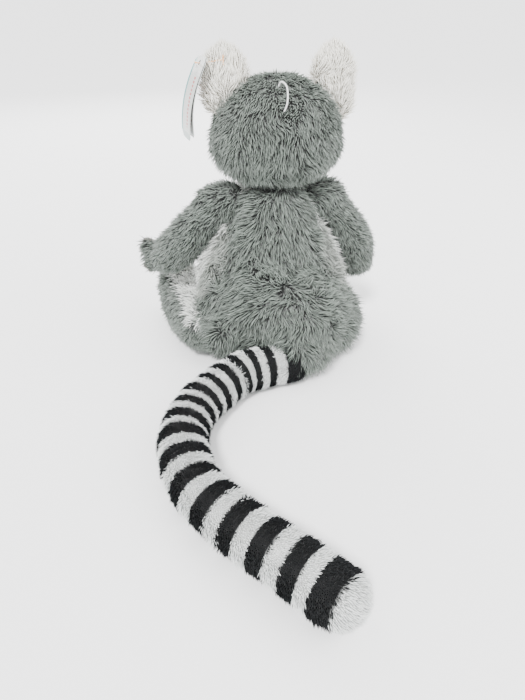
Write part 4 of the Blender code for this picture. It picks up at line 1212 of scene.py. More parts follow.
@dataclass
class Torso:
    """The round body: grey back and rump, white belly and the plain seat cloth under it."""

    plan: Stuffed = field(default_factory=lambda: Stuffed(
        "torso_skin", ("torso_stuffing", "seat_bean_bag"), offset=0.0022, swell=0.0020, voxel=0.0046,
        lobes=(
            ((0.048, 0.022, 0.040), (0.042, 0.050, 0.040)),
            ((-0.050, 0.030, 0.040), (0.048, 0.050, 0.040)),
            ((-0.018, 0.054, 0.056), (0.056, 0.044, 0.042)),
            ((-0.018, 0.079, 0.035), (0.034, 0.030, 0.028)),
        ),
    ))
    neck: Point = (-0.005, 0.004, 0.235)
    parting: Point = (-0.022, 0.072, 0.104)    # the rump's pile is combed outwards from here
    split_height: float = 0.098            # where the upper and lower pieces of back pile meet
    # how far back the side seam runs on either side, at each of these heights
    side_heights: tuple[float, ...] = (0.0, 0.050, 0.068, 0.085, 0.115, 0.140, 0.190)
    left_seam: tuple[float, ...] = (-0.010, -0.008, 0.006, 0.024, 0.028, 0.020, 0.010)
    right_seam: tuple[float, ...] = (-0.010, -0.004, 0.014, 0.032, 0.036, 0.026, 0.010)
    side_shade_width: float = 0.012              # how far the painted shade under the arms, a greyer pile, reaches to either side of the seam

    def dress(self, kit: Kit) -> None:
        """Grow the pile and lay the seat cloth."""
        skin = self.plan.skin
        points = points_of(skin.data)
        left = np.interp(points[:, 2], self.side_heights, self.left_seam)
        right = np.interp(points[:, 2], self.side_heights, self.right_seam)
        behind = points[:, 1] - np.where(points[:, 0] > self.neck[0], left, right)
        back = smooth_step(behind, -0.0015, 0.0015)
        # painted shade: between these heights, under the arms, a greyer pile stands for the white belly's fur
        # in shade
        arm_shade_band = smooth_step(points[:, 2], 0.060, 0.080) * (1 - smooth_step(points[:, 2], 0.135, 0.155))
        grey = smooth_step(behind - self.side_shade_width * arm_shade_band, -0.003, 0.003)
        white = 1.0 - smooth_step(behind + self.side_shade_width * arm_shade_band, -0.003, 0.003)
        above_seat = smooth_step(points[:, 2], 0.003, 0.008)
        pressed = self.pressed(points)
        write_attribute(skin.data, "band", 1.0 - back)
        kit.sew(
            skin, TWO_TONE_BACKING, "torso", "grey_fur", "torso_stuffing", "seat_bean_bag",
            "torso_back_panel", "torso_belly_panel", fill=0.75,
        )
        upper = smooth_step(points[:, 2], self.split_height - 0.002, self.split_height + 0.002)
        down = away_from(points, self.neck)
        parted = away_from(points, self.parting)
        rump = smooth_step(points[:, 1], 0.030, 0.060) * (1 - smooth_step(points[:, 2], 0.095, 0.125))
        share = 0.7 * rump[:, None]
        comb = down * (1 - share) + parted * share
        pieces = (
            ("torso_back_pile_upper", GREY_PILE, grey * upper, "grey_fur", 11),
            ("torso_back_pile_lower", GREY_PILE, grey * (1 - upper), "grey_fur", 12),
            # painted shade under the arms and along the side seam
            ("torso_side_shade_pile", SIDE_SHADE_PILE, (1 - grey) * (1 - white), "white_fur", 14),
            ("torso_belly_pile", WHITE_PILE, white, "white_fur", 13),
        )
        for name, finish, region, slot, seed in pieces:
            kit.grow(
                skin, name, Cut.BODY, finish, region * above_seat, comb, "torso", slot, seed, reach=pressed,
            )
        self.seat(kit)

    def pressed(self, points: np.ndarray) -> np.ndarray:
        """Length of the pile: short in the crease of the neck and low down, where it is sat on."""
        near = distance_to(points, "neck_stuffing", "head_back_panel")
        low = 0.45 + 0.55 * smooth_step(points[:, 2], 0.004, 0.018)
        return (0.40 + 0.60 * smooth_step(near, 0.004, 0.018)) * low

    def seat(self, kit: Kit) -> None:
        """The woven cloth that the toy sits on."""
        mesh = frame["nodes"]["seat_base_panel"].data.copy()
        bm = bmesh.new()
        bm.from_mesh(mesh)
        bmesh.ops.remove_doubles(bm, verts=bm.verts, dist=SAME_PLACE)
        bm.to_mesh(mesh)
        bm.free()
        seat = link("seat_cloth", mesh)
        edge = seat.modifiers.new("edge", "BEVEL")
        edge.width = 0.0009
        edge.segments = 3
        edge.limit_method = "ANGLE"
        seat.data = applied(seat, "seat_cloth")
        seat.modifiers.clear()
        seat.data.shade_smooth()
        seat.data.set_sharp_from_angle(angle=SHARP_EDGE)
        kit.sew(seat, SEAT_CLOTH, "torso", "grey_cloth", "seat_base_panel")


# ================================================================ head


@dataclass
class Head:
    """Grey crown and back, white face, dark patches round the eyes, a dark-tipped muzzle and the nose."""

    plan: Stuffed = field(default_factory=lambda: Stuffed(
        "head_skin", ("head_stuffing",), offset=0.0004, swell=0.0014, voxel=0.0042,
    ))
    muzzle_plan: Stuffed = field(default_factory=lambda: Stuffed(
        "muzzle_skin", ("muzzle_stuffing",), offset=0.0014, swell=0.0012, voxel=0.0024,
    ))
    neck_plan: Stuffed = field(default_factory=lambda: Stuffed(
        "neck_skin", ("neck_stuffing",), offset=0.0012, swell=0.0014, voxel=0.0034,
    ))
    crown: Point = (-0.005, -0.030, 0.330)
    snout_dark: float = 0.016              # how far back from the nose the dark pile reaches
    eye_radius: float = 0.0078

    def dress(self, kit: Kit) -> None:
        """Build every piece of the head."""
        self.back_and_face(kit)
        self.muzzle(kit)
        self.neck(kit)
        self.eyes(kit)
        self.mouth(kit)

    def back_and_face(self, kit: Kit) -> None:
        """The two panels of the head and their pile."""
        skin = self.plan.skin
        points = points_of(skin.data)
        back = share_of(points, "head_back_panel", ("face_panel",), 0.002)
        write_attribute(skin.data, "band", 1.0 - back)
        kit.sew(
            skin, TWO_TONE_BACKING, "head", "grey_fur", "head_stuffing", "head_back_panel", "face_panel",
            fill=0.85,
        )
        near_neck = distance_to(points, "neck_stuffing")
        near_ear = distance_to(points, "left_ear_back_panel", "right_ear_back_panel")
        low = 1.0 - smooth_step(points[:, 2], 0.215, 0.275)
        reach = (0.4 + 0.6 * smooth_step(near_neck, 0.0, 0.010)) * (0.72 + 0.38 * low)
        reach *= 0.7 + 0.3 * smooth_step(near_ear, 0.002, 0.010)
        kit.grow(
            skin, "head_back_pile", Cut.HEAD, GREY_PILE, back, self.crown, "head", "grey_fur", 21, reach=reach
        )
        near_eye = distance_to(points, "left_eye_patch", "right_eye_patch")
        near_muzzle = distance_to(points, "muzzle_panel")
        bare = smooth_step(near_eye, 0.0005, 0.002) * smooth_step(near_muzzle, 0.0002, 0.0015)
        nose = sum(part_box("nose"), Vector()) / 2
        short = 0.75 + 0.65 * smooth_step(near_eye, 0.004, 0.030)
        kit.grow(
            skin, "face_pile", Cut.FACE, WHITE_PILE, (1 - back) * bare, tuple(nose), "head", "white_fur", 22,
            reach=short,
        )

    def muzzle(self, kit: Kit) -> None:
        """The muzzle, white at its root and dark round the nose."""
        skin = self.muzzle_plan.skin
        points = points_of(skin.data)
        nose = sum(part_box("nose"), Vector()) / 2
        from_nose = np.linalg.norm(points - np.array(nose), axis=1)
        dark = 1.0 - smooth_step(from_nose, self.snout_dark - 0.003, self.snout_dark + 0.003)
        clear = smooth_step(distance_to(points, "nose"), 0.0006, 0.0020)
        write_attribute(skin.data, "band", dark)
        kit.sew(skin, MUZZLE_BACKING, "head", "white_fur", "muzzle_stuffing", "muzzle_panel", fill=0.85)
        tip = tuple(nose)
        light = (1 - dark) * clear
        kit.grow(skin, "muzzle_pile", Cut.SNOUT, WHITE_PILE, light, tip, "head", "white_fur", 23)
        kit.grow(skin, "snout_pile", Cut.SNOUT, SNOUT_PILE, dark * clear, tip, "head", "dark_felt", 24)
        dress(frame["nodes"]["nose"], kit.finish(NOSE_PLASTIC))

    def neck(self, kit: Kit) -> None:
        """The stuffed neck in the crease between head and body."""
        skin = self.neck_plan.skin
        kit.sew(skin, GREY_BACKING, "neck", "grey_fur", "neck_stuffing", fill=0.8)
        cover = np.ones(len(skin.data.vertices))
        reach = np.full(len(cover), 0.55)
        kit.grow(
            skin, "neck_pile", Cut.LIMB, GREY_PILE, cover, self.crown, "neck", "grey_fur", 25, reach=reach
        )

    def eyes(self, kit: Kit) -> None:
        """Polished eyes on dark patches with a short pile."""
        head_low, head_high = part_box("head_back_panel")
        middle = (head_low + head_high) / 2
        for number, side in enumerate(("left", "right")):
            low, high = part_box(f"{side}_eye_patch")
            patch_middle = (low + high) / 2
            outward = Vector((patch_middle.x - middle.x, -0.050, patch_middle.z - middle.z)).normalized()
            eye = frame["nodes"][f"{side}_eye"]
            corners = points_of(eye.data)
            front = corners[:, 1].min()
            centre = (patch_middle.x, front + self.eye_radius, patch_middle.z + 0.001)
            finish = EyeFinish(f"{side}_eye_gloss", centre, tuple(outward), 0.0034, 0.0070)
            dress(eye, kit.finish(finish))
            dress(frame["nodes"][f"{side}_eye_washer"], kit.finish(WASHER_PLASTIC))
            patch = frame["nodes"][f"{side}_eye_patch"]
            dress(patch, kit.finish(PATCH_BACKING))
            self.patch_pile(kit, side, patch, outward, 26 + number)
        dress(frame["nodes"]["nose_washer"], kit.finish(WASHER_PLASTIC))

    def patch_pile(self, kit: Kit, side: str, patch: bpy.types.Object, outward: Vector, seed: int) -> None:
        """Short dark pile on the front of an eye patch."""
        mesh = patch.data.copy()
        bm = bmesh.new()
        bm.from_mesh(mesh)
        bmesh.ops.remove_doubles(bm, verts=bm.verts, dist=SAME_PLACE)
        bmesh.ops.subdivide_edges(bm, edges=[e for e in bm.edges if e.calc_length() > 0.004], cuts=2)
        bmesh.ops.triangulate(bm, faces=bm.faces)
        bm.to_mesh(mesh)
        bm.free()
        base = link(f"{side}_patch_base", mesh)
        ahead = smooth_step(normals_of(mesh) @ np.array(outward), 0.3, 0.6)
        clear = smooth_step(distance_to(points_of(mesh), f"{side}_eye"), 0.0004, 0.0016)
        source = tuple(sum(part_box(f"{side}_eye"), Vector()) / 2)
        kit.grow(
            base, f"{side}_eye_patch_pile", Cut.SNOUT, PATCH_PILE, ahead * clear, source, "head",
            "dark_felt", seed,
        )
        bpy.data.objects.remove(base)

    def mouth(self, kit: Kit) -> None:
        """A stitched line down from the nose and a smile across the muzzle."""
        tree = surface_tree(self.muzzle_plan.skin)
        low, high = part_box("nose")
        x, z, y = (low.x + high.x) / 2, low.z, low.y + 0.004
        down = [Vector((x, y, z - 0.0009 * i)) for i in range(1, 7)]
        smile = []
        for i in range(-10, 11):
            turn = i / 10
            rise = 0.0040 * turn ** 2
            smile.append(Vector((x + 0.0105 * turn, y + rise, z - 0.0075 + rise)))
        for name, line in (("mouth_line", down), ("mouth_smile", smile)):
            lifted = []
            for point in line:
                found, normal, *_ = tree.find_nearest(point)
                lifted.append(found + normal * 0.0018)
            sewn = thread_run(
                name, lifted, kit.finish(DARK_THREAD), stitch=0.0022, gap=-0.0002, radius=0.0006
            )
            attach(sewn, "head")


def surface_tree(thing: bpy.types.Object) -> BVHTree:
    """A search tree of an object's own mesh."""
    corners = [vertex.co.copy() for vertex in thing.data.vertices]
    return BVHTree.FromPolygons(corners, [tuple(polygon.vertices) for polygon in thing.data.polygons])


# ================================================================ ears and hang tag


@dataclass
class Ear:
    """A fluffy white ear."""

    side: str
    plan: Stuffed = field(init=False)

    def __post_init__(self) -> None:
        """Plan the skin from the ear's two panels."""
        panels = (f"{self.side}_ear_back_panel", f"{self.side}_ear_front_panel")
        low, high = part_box(panels[0])
        foot = ((low.x + high.x) / 2, (low.y + high.y) / 2, low.z + 0.014)
        self.plan = Stuffed(
            f"{self.side}_ear_skin", panels, offset=0.0006, swell=0.0016, voxel=0.0030,
            lobes=((foot, (0.0210, 0.0080, 0.0220)),),
        )

    def dress(self, kit: Kit) -> None:
        """Hollow the front a little and grow the fluff."""
        skin = self.plan.skin
        low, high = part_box(f"{self.side}_ear_front_panel")
        middle, half = (low + high) / 2, (high - low) / 2
        points = points_of(skin.data)
        reach_x = (points[:, 0] - middle.x) / half.x
        reach_z = (points[:, 2] - middle.z) / half.z
        bowl = np.clip(1.0 - reach_x ** 2 - reach_z ** 2, 0.0, 1.0)
        front = smooth_step(-normals_of(skin.data)[:, 1], 0.0, 0.6)
        points[:, 1] += 0.0042 * bowl * front
        place_points(skin.data, points)
        body = f"{self.side}_ear"
        panels = (f"{body}_back_panel", f"{body}_front_panel")
        kit.sew(skin, WHITE_BACKING, body, "white_fur", *panels, fill=0.5)
        clear = smooth_step(distance_to(points, "head_back_panel", "face_panel"), 0.0, 0.003)
        seed = 31 if self.side == "left" else 32
        top = smooth_step(reach_z, 0.1, 0.9)
        short = (1.0 - 0.40 * front * bowl) * (1.0 - 0.45 * top)
        below = (joint_of(body).x, 0.0, 0.2)
        kit.grow(
            skin, f"{self.side}_ear_pile", Cut.EAR, EAR_PILE, 0.25 + 0.75 * clear, below, body,
            "white_fur", seed, reach=short,
        )


@dataclass
class HangTag:
    """A folded card of two bowed leaves on a plastic fastener, with plain bands for print."""

    top: Point = (0.0648, -0.0060, 0.3110)
    drop: float = 0.074
    width: float = 0.034
    bow: float = 0.0065
    lean: float = math.radians(16)
    turn: float = math.radians(10)
    hole: float = 0.0055
    hole_radius: float = 0.0022
    thick: float = 0.00042
    teal: Colour = (0.035, 0.235, 0.235)
    red: Colour = (0.42, 0.055, 0.045)

    def point(self, down: float, across: float, out: float) -> Vector:
        """A point of the bowed card, down and across it and out of its face."""
        bow = self.bow * (1 - (2 * down / self.drop - 1) ** 2)
        slope = self.bow * 4 * (1 - 2 * down / self.drop) / self.drop
        tilt = self.lean + math.atan(slope)
        sideways = down * math.sin(self.lean) + bow + out * math.cos(tilt)
        fall = down * math.cos(self.lean) - out * math.sin(tilt)
        flat = Vector((sideways, across, -fall))
        return Vector(self.top) + Matrix.Rotation(self.turn, 3, "Z") @ flat

    def leaf(self, name: str, out: float, splay: float, trim: float) -> bpy.types.Object:
        """One leaf with a hole, rounded corners and a map of its own in metres.

        Args:
            name: the leaf's name.
            out: how far it lies out of the card's middle.
            splay: how much further out its foot stands.
            trim: how much shorter it is than the whole card.

        Returns:
            The leaf as a closed plate.
        """
        length = self.drop - trim
        outline = self.outline(length)
        sides = len(outline)
        around = [2 * math.pi * i / sides for i in range(sides)]
        hole = [(self.hole + self.hole_radius * math.sin(a), self.hole_radius * math.cos(a)) for a in around]
        bm = bmesh.new()
        layers = []
        for face in (-1, 1):
            rings = []
            for share in (0.0, 0.05, 0.2, 0.4, 0.6, 0.8, 1.0):
                ring = []
                for (down, across), (low, side) in zip(outline, hole):
                    d, a = low + (down - low) * share, side + (across - side) * share
                    lift = out + splay * (d / length) ** 2 + face * self.thick / 2
                    ring.append((bm.verts.new(self.point(d, a, lift)), d, a))
                rings.append(ring)
            layers.append(rings)
        flat = bm.loops.layers.uv.new("leaf")
        where = {vertex: (a, d) for rings in layers for ring in rings for vertex, d, a in ring}
        for rings in layers:
            for low, high in zip(rings, rings[1:]):
                add_band(bm, [v for v, *_ in low], [v for v, *_ in high])
        for ring in (0, -1):
            add_band(bm, [v for v, *_ in layers[0][ring]], [v for v, *_ in layers[1][ring]])
        bmesh.ops.recalc_face_normals(bm, faces=bm.faces)
        for face in bm.faces:
            for corner in face.loops:
                corner[flat].uv = where[corner.vert]
        mesh = bpy.data.meshes.new(name)
        bm.to_mesh(mesh)
        bm.free()
        mesh.shade_smooth()
        mesh.set_sharp_from_angle(angle=SHARP_EDGE)
        return link(name, mesh)

    def outline(self, length: float) -> list[tuple[float, float]]:
        """The leaf's edge, starting at the right of the hole and going down round it."""
        count, half = 40, self.width / 2
        square = 7                         # the higher, the tighter the corners
        edge = []
        for i in range(count):
            turn = 2 * math.pi * i / count
            reach = (abs(math.cos(turn)) ** square + abs(math.sin(turn)) ** square) ** (-1 / square)
            down = length / 2 + (length / 2) * math.sin(turn) * reach
            across = half * math.cos(turn) * reach
            edge.append((min(max(down, 0.0), length), max(-half, min(half, across))))
        return edge

    def dress(self, kit: Kit) -> None:
        """Make both leaves and the spine between them."""
        half = self.width / 2
        edge = Mark((-half, 0.0045 - half), (0.0, self.drop), self.teal)
        dashes = Mark((0.0030, 0.0080), (0.016, 0.062), self.red, 0.0034)
        foot = Mark((-half, half), (0.0675, self.drop), (0.33, 0.40, 0.39))
        outer = CardFinish("card_outer", (0.50, 0.52, 0.50), (edge, dashes, foot))
        inner = CardFinish("card_inner", (0.56, 0.58, 0.56), (edge, dashes))
        for name, out, splay, trim, finish in (
            ("tag_outer_leaf", 0.00055, 0.0004, 0.0, outer),
            ("tag_inner_leaf", -0.00055, -0.0030, 0.0025, inner),
        ):
            leaf = self.leaf(name, out, splay, trim)
            stands_for = ("hang_tag",) if name == "tag_outer_leaf" else ()
            kit.sew(leaf, finish, "hang_tag", "tag_card", *stands_for)
        self.spine(kit)
        dress(frame["nodes"]["tag_fastener"], kit.finish(FASTENER_PLASTIC))

    def spine(self, kit: Kit) -> None:
        """The rounded fold along the card's front edge."""
        rings, sides, steps = [], 10, 24
        for i in range(steps + 1):
            down = 0.004 + (self.drop - 0.010) * i / steps
            for k in range(sides):
                a = 2 * math.pi * k / sides
                across = -self.width / 2 + 0.0006 + 0.0009 * math.cos(a)
                lift = 0.0004 * (down / self.drop) ** 2 + 0.0009 * math.sin(a)
                rings.append(self.point(down, across, lift))
        spine = mesh_object("tag_spine", rings, tube_faces(steps + 1, sides))
        spine.data.uv_layers.new(name="leaf")
        kit.sew(spine, CardFinish("card_spine", self.teal), "hang_tag", "tag_card")


def add_band(bm: bmesh.types.BMesh, low: Sequence[Any], high: Sequence[Any]) -> None:
    """Join two closed rings of corners with faces."""
    for i in range(len(low)):
        j = (i + 1) % len(low)
        bm.faces.new((low[i], low[j], high[j], high[i]))


# ================================================================ arms and legs


@dataclass(frozen=True)
class Digits:
    """Three grooves with stitched lines, which part a hand's fingers or a foot's toes."""

    tip: Vector                   # end of the middle groove
    beside: Vector                # from one groove to the next
    back: Vector                  # unit vector from the tips towards the limb
    face: Vector                  # unit vector out of the velour
    length: float
    depth: float
    start: float                  # from a groove's end to its first stitch
    places: int                   # how many places of the cloth a stitched line follows
    width: float = 0.0022
    step: float = 0.0020
    lift: float = 0.0003

    def tips(self) -> list[Vector]:
        """The three grooves' ends."""
        return [self.tip + self.beside * side for side in (-1, 0, 1)]

    def press(self, patch: bpy.types.Object) -> None:
        """Press the grooves into the velour."""
        for tip in self.tips():
            press_line(patch, tip, tip + self.back * self.length, self.depth, self.width, -self.face)

    def sew(self, kit: Kit, patch: bpy.types.Object, name: str, body: str) -> None:
        """Stitch a line along each groove.

        Args:
            kit: the shared trees and materials.
            patch: the pressed velour.
            name: what the lines are called, before their numbers.
            body: what they ride on.
        """
        tree = surface_tree(patch)
        for number, tip in enumerate(self.tips(), 1):
            line = []
            for i in range(self.places):
                guess = tip + self.back * (self.start + self.step * i) + self.face * 0.03
                found = tree.ray_cast(guess, -self.face)
                if found[0] is not None:
                    line.append(found[0] + self.face * self.lift)
            if len(line) > 2:
                sewn = thread_run(f"{name}_{number}", line, kit.finish(TAUPE_THREAD))
                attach(sewn, body)


@dataclass
class Arm:
    """A grey arm with a velour palm and sewn fingers."""

    side: str
    shoulder: Point               # middle of the full cloth over the shoulder
    wrist: Point
    hand: Point
    fingers: tuple[Point, ...]    # middle of the thumb and of each finger, from the hand's middle
    neck: Point = (-0.005, 0.010, 0.235)
    shoulder_half: Point = (0.0285, 0.0200, 0.0190)
    finger_half: Point = (0.0072, 0.0078, 0.0078)
    plan: Stuffed = field(init=False)

    def __post_init__(self) -> None:
        """Plan the skin, with the shoulder and the fingers sewn in."""
        tips = [tuple(Vector(self.hand) + Vector(finger)) for finger in self.fingers]
        lobes = ((self.shoulder, self.shoulder_half), *[(tip, self.finger_half) for tip in tips])
        self.plan = Stuffed(
            f"{self.side}_arm_skin", (f"{self.side}_arm_stuffing",), offset=0.0012, swell=0.0014,
            voxel=0.0034, lobes=lobes,
        )

    def dress(self, kit: Kit) -> None:
        """Sew on the palm and grow the pile round it."""
        skin = self.plan.skin
        body = f"{self.side}_arm"
        along = (Vector(self.hand) - Vector(self.wrist)).normalized()
        front = Vector((0.0, -1.0, 0.0))
        front = (front - along * front.dot(along)).normalized()
        across = along.cross(front).normalized()
        points = points_of(skin.data)
        palm = share_of(points, f"{self.side}_palm", (f"{self.side}_arm_sleeve",), 0.0012)
        beyond = (points - np.array(self.hand)) @ np.array(along)
        palm = np.maximum(palm, smooth_step(beyond, 0.0085, 0.0110))
        kit.sew(skin, GREY_BACKING, body, "grey_fur", f"{body}_stuffing", f"{body}_sleeve", fill=0.7)
        near_torso = distance_to(points, "torso_back_panel", "torso_belly_panel")
        reach = 0.55 + 0.45 * smooth_step(near_torso, 0.0, 0.006)
        seed = 41 if self.side == "left" else 42
        kit.grow(
            skin, f"{self.side}_arm_pile", Cut.LIMB, GREY_PILE, 1 - palm, self.neck, body, "grey_fur",
            seed, reach=reach,
        )
        patch = cloth_patch(skin, f"{self.side}_palm_velour", palm, 0.0014, 0.0018)
        tip = Vector(self.hand) + along * 0.016
        fingers = Digits(tip, across * 0.0085, -along, front, 0.016, 0.0022, 0.0, 9)
        fingers.press(patch)
        kit.sew(patch, VELOUR, body, "taupe_velour", f"{self.side}_palm")
        fingers.sew(kit, patch, f"{self.side}_finger_seam", body)


@dataclass
class Leg:
    """A grey leg with a velour sole and sewn toes."""

    side: str
    ankle: Point
    foot: Point
    neck: Point = (-0.005, 0.010, 0.235)
    white_from: tuple[float, float] = (0.042, 0.050)     # heights between which the grey turns white
    plan: Stuffed = field(init=False)

    def __post_init__(self) -> None:
        """Plan the skin."""
        self.plan = Stuffed(
            f"{self.side}_leg_skin", (f"{self.side}_leg_stuffing",), offset=0.0012, swell=0.0014,
            voxel=0.0040,
        )

    def dress(self, kit: Kit) -> None:
        """Sew on the sole and grow the pile round it."""
        skin = self.plan.skin
        body = f"{self.side}_leg"
        along = (Vector(self.foot) - Vector(self.ankle)).normalized()
        points = points_of(skin.data)
        sole = share_of(points, f"{self.side}_foot_sole", (f"{self.side}_leg_sleeve",), 0.0012)
        kit.sew(skin, GREY_BACKING, body, "grey_fur", f"{body}_stuffing", f"{body}_sleeve", fill=0.75)
        near_torso = distance_to(points, "torso_back_panel", "torso_belly_panel")
        reach = (0.40 + 0.60 * smooth_step(near_torso, 0.0, 0.010)) * (
            0.35 + 0.65 * smooth_step(points[:, 2], 0.001, 0.010)
        )
        seed = 51 if self.side == "left" else 52
        inner = 1.0 - smooth_step(abs(points[:, 0]) - self.white_edge(points[:, 1]), -0.004, 0.004)
        white = smooth_step(points[:, 2], *self.white_from) * inner
        for tone, finish, region, slot in (
            ("grey", GREY_PILE, 1 - white, "grey_fur"), ("white", WHITE_PILE, white, "white_fur")
        ):
            kit.grow(
                skin, f"{self.side}_leg_{tone}_pile", Cut.LIMB, finish, (1 - sole) * region, self.neck, body,
                slot, seed, reach=reach,
            )
            seed += 3
        self.sole(kit, skin, sole, along, body)

    def white_edge(self, depth: np.ndarray) -> np.ndarray:
        """How far out the white top of the thigh reaches, by how far back it is."""
        edge = 0.112 if self.side == "left" else 0.130
        return edge - 0.18 * np.clip(depth + 0.046, -0.05, 0.05)

    def sole(
        self, kit: Kit, skin: bpy.types.Object, sole: np.ndarray, along: Vector, body: str
    ) -> None:
        """Sew on the velour sole with its toes.

        Args:
            kit: the shared trees and materials.
            skin: the leg's skin.
            sole: for each of the skin's corners, above a half under the velour.
            along: the way the foot points.
            body: what it rides on.
        """
        patch = cloth_patch(skin, f"{self.side}_sole_velour", sole, 0.0014, 0.0018)
        beside = along.cross(UP).normalized()
        upright = beside.cross(along).normalized()
        tip = Vector(self.foot) + along * 0.010 + upright * 0.036
        toes = Digits(tip, beside * 0.010, -upright, along, 0.018, 0.0020, 0.002, 10)
        toes.press(patch)
        kit.sew(patch, VELOUR, body, "taupe_velour", f"{self.side}_foot_sole")
        toes.sew(kit, patch, f"{self.side}_toe_seam", body)


# ================================================================ tail


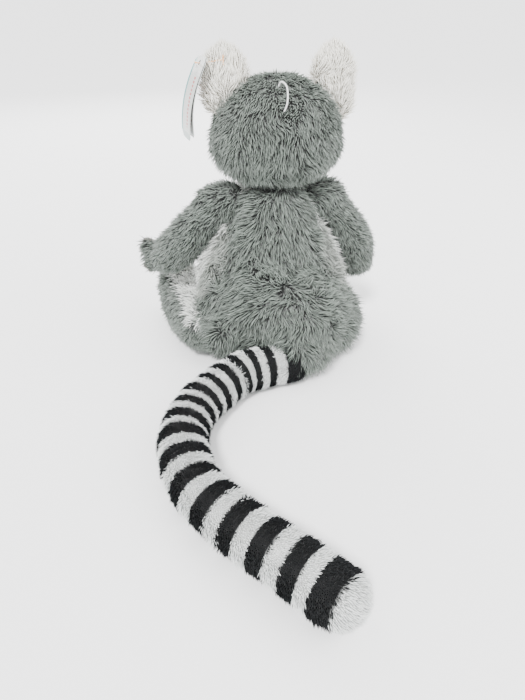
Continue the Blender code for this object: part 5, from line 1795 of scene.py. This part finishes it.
@dataclass
class Tail:
    """The long banded tail, made in pieces that each bend across one joint."""

    route: tuple[tuple[float, float], ...] = (
        (-0.0080, 0.0960), (0.0200, 0.0990), (0.0530, 0.1090), (0.0830, 0.1330), (0.1060, 0.1620),
        (0.1190, 0.2010), (0.1100, 0.2550), (0.0790, 0.3010), (0.0430, 0.3420), (0.0180, 0.3710),
    )
    starts: tuple[float, ...] = (0.0, 1.15, 3.25, 4.75, 6.20, 7.55)    # of each length, in rows of the route
    end: float = 8.78
    radius: float = 0.0204
    height: float = 0.0226
    cap: float = 0.0195
    root_cap: float = 0.0120
    sides: int = 36
    step: float = 0.0018
    bend_room: float = 0.013              # how far either side of a joint the cloth bends
    first_band: float = 0.030             # middle of the first whole band, from the tail's root
    near_pitch: float = 0.0186            # from band to band by the rump
    far_pitch: float = 0.0279             # and by the tip
    band_count: int = 16
    black_share: float = 0.55
    rump_patch: float = 0.012             # black cloth at the root

    def line(self) -> tuple[np.ndarray, np.ndarray]:
        """The tail's middle line, evenly stepped from its root to the start of its tip.

        Returns:
            The points, and how far along the tail each is.
        """
        fine = np.array([spline(self.route, w) for w in np.linspace(0.0, self.end, 1200)])
        gaps = np.linalg.norm(np.diff(fine, axis=0), axis=1)
        reach = np.concatenate([[0.0], np.cumsum(gaps)])
        count = int(reach[-1] / self.step) + 1
        places = np.linspace(0.0, reach[-1], count)
        flat = np.stack([np.interp(places, reach, fine[:, i]) for i in range(2)], axis=1)
        return np.column_stack([flat, np.full(count, self.height)]), places

    def reach_of(self, where: float) -> float:
        """How far along the tail a row of the route is."""
        fine = np.array([spline(self.route, w) for w in np.linspace(0.0, where, 600)])
        return float(np.linalg.norm(np.diff(fine, axis=0), axis=1).sum())

    def bands(self) -> list[tuple[float, float]]:
        """Where each black band starts and ends along the tail."""
        found = [(-1.0, self.rump_patch)]
        middle = self.first_band
        for number in range(self.band_count):
            share = float(smooth_step(np.array([number]), 6.0, 9.0)[0])
            pitch = self.near_pitch + (self.far_pitch - self.near_pitch) * share
            width = pitch * self.black_share * (1.25 if number == self.band_count - 1 else 1.0)
            found.append((middle - width / 2, middle + width / 2))
            middle += pitch
        return found

    def dark(self, places: np.ndarray) -> np.ndarray:
        """From 0 to 1, how far each place lies in a black band."""
        deep = np.max([np.minimum(places - start, end - places) for start, end in self.bands()], axis=0)
        return smooth_step(deep, -0.0007, 0.0007)

    def piece(self, name: str, first: float, last: float, points: np.ndarray, places: np.ndarray) -> tuple:
        """A closed tube of skin between two places along the tail.

        Args:
            name: the skin's name.
            first: where it starts along the tail.
            last: where it ends, or beyond the tail's end for the piece with the tip.
            points: the tail's middle line.
            places: how far along the tail each of them is.

        Returns:
            The skin, how far along each corner is, and the direction of the tail at each corner.
        """
        chosen = [i for i, p in enumerate(places) if first - 1e-9 <= p <= last + 1e-9]
        rings, reach, lead = [], [], []
        tangents = np.gradient(points, axis=0)
        tangents /= np.linalg.norm(tangents, axis=1, keepdims=True)
        up = np.array(UP)
        sections = [(points[i], tangents[i], 1.0, places[i]) for i in chosen]
        if chosen[0] == 0:
            sections = [*self.round_start(points[0], tangents[0]), *sections]
        if last > places[-1]:
            for step in range(1, 9):
                polar = step / 8 * math.pi / 2 * 0.985
                push = self.cap * math.sin(polar)
                sections.append(
                    (points[-1] + tangents[-1] * push, tangents[-1], math.cos(polar), places[-1] + push)
                )
        for place, along, scale, where in sections:
            across = np.cross(along, up)
            for k in range(self.sides):
                turn = 2 * math.pi * k / self.sides
                lumps = 1.0 + 0.020 * math.sin(where * 210 + 2 * math.sin(turn))
                lumps += 0.014 * math.sin(3 * turn + where * 95)
                ring = (across * math.cos(turn) + up * math.sin(turn)) * self.radius * lumps * scale
                rings.append(place + ring)
                reach.append(where)
                lead.append(along)
        skin = mesh_object(name, rings, tube_faces(len(sections), self.sides))
        return skin, np.array(reach), np.array(lead)

    def round_start(self, place: np.ndarray, along: np.ndarray) -> list[tuple[Any, ...]]:
        """The rounded end under the rump's pile, as middles, directions, shares of the radius and places."""
        found = []
        for step in range(6, 0, -1):
            polar = step / 6 * math.pi / 2 * 0.985
            push = self.root_cap * math.sin(polar)
            found.append((place - along * push, along, math.cos(polar), -push))
        return found

    def dress(self, kit: Kit) -> None:
        """Make each piece of skin with its black and its white pile."""
        points, places = self.line()
        joints = [self.reach_of(where) for where in self.starts]
        middles = [(a + b) / 2 for a, b in zip(joints[1:], joints[2:])]
        cuts = [0.0, *middles, places[-1] + 1.0]
        bodies = ["tail_root", *[f"tail_{i}" for i in range(1, 6)]]
        for number, (first, last) in enumerate(zip(cuts, cuts[1:])):
            first_even = places[np.argmin(abs(places - first))]
            last_even = places[np.argmin(abs(places - last))] if last < places[-1] else last
            name = f"tail_piece_{number + 1}"
            skin, reach, lead = self.piece(f"{name}_skin", first_even, last_even, points, places)
            dark = self.dark(reach)
            write_attribute(skin.data, "band", dark)
            dress(skin, kit.finish(TAIL_BACKING))
            grown = [skin]
            inner = smooth_step(reach, -0.020, -0.012)
            ends = self.tip_share(reach, places[-1])
            for tone, finish, cover, seed in (
                ("black", BLACK_PILE, dark, 60),
                ("white", TAIL_WHITE_PILE, (1 - dark) * (1 - ends), 70),
                ("tip", TAIL_WHITE_PILE, (1 - dark) * ends, 80),
            ):
                if cover.max() < 0.5:
                    continue
                cut = Cut.TIP if tone == "tip" else Cut.TAIL
                low = 0.45 + 0.55 * smooth_step(points_of(skin.data)[:, 2], 0.0015, 0.012)
                pile = kit.grow(
                    skin, f"{name}_{tone}_pile", cut, finish, cover * inner, lead, "",
                    "striped_fur", seed + number, reach=low,
                )
                grown.append(pile)
            parent, child = bodies[number], bodies[number + 1]
            joint = joint_of(child)
            nearest = int(np.argmin(abs(places - joints[number + 1])))
            room = Vector(points[nearest + 1] - points[nearest - 1]).normalized() * self.bend_room
            for thing in grown:
                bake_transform(thing, parent, child, start=joint - room, end=joint + room)
            names = [bodies[number + 1]] + ([bodies[0]] if number == 0 else [])
            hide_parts(*[f"{n}_{part}" for n in names for part in ("sleeve", "stuffing")])

    def tip_share(self, reach: np.ndarray, total: float) -> np.ndarray:
        """1 past the last black band, where the pile is longer."""
        last = self.bands()[-1][1]
        return smooth_step(reach, last, last + 0.002) if total > last else np.zeros(len(reach))


# ================================================================ the toy


def main() -> None:
    """Build the toy's looks round the frame."""
    logging.basicConfig(level=logging.INFO, format="%(name)s: %(message)s")
    studio = Studio()
    studio.camera()
    HangingLoop().build()
    studio.build()
    kit = Kit(PileTree())
    torso, head = Torso(), Head()
    ears = [Ear("left"), Ear("right")]
    arms = [
        Arm(
            "left", (0.0520, 0.000, 0.1725), (0.1150, -0.031, 0.1045), (0.1275, -0.044, 0.0975),
            fingers=((0.0125, 0.000, 0.0150), (0.0120, 0.000, -0.0100), (0.0090, 0.000, 0.0020)),
        ),
        Arm(
            "right", (-0.0520, 0.000, 0.1725), (-0.1090, -0.019, 0.0945), (-0.1155, -0.031, 0.0740),
            fingers=((0.0040, -0.012, 0.0120), (-0.0060, -0.006, -0.0070)),
        ),
    ]
    legs = [
        Leg("left", (0.1045, -0.072, 0.0350), (0.1075, -0.088, 0.0385)),
        Leg("right", (-0.0790, -0.067, 0.0350), (-0.0805, -0.083, 0.0385)),
    ]
    fill_all([
        torso.plan, head.plan, head.muzzle_plan, head.neck_plan,
        *[part.plan for part in (*ears, *arms, *legs)],
    ])
    for part in (torso, head, *ears, HangTag(), *arms, *legs, Tail()):
        LOG.info("dressing %s", type(part).__name__)
        part.dress(kit)


if __name__ == "__main__":
    main()
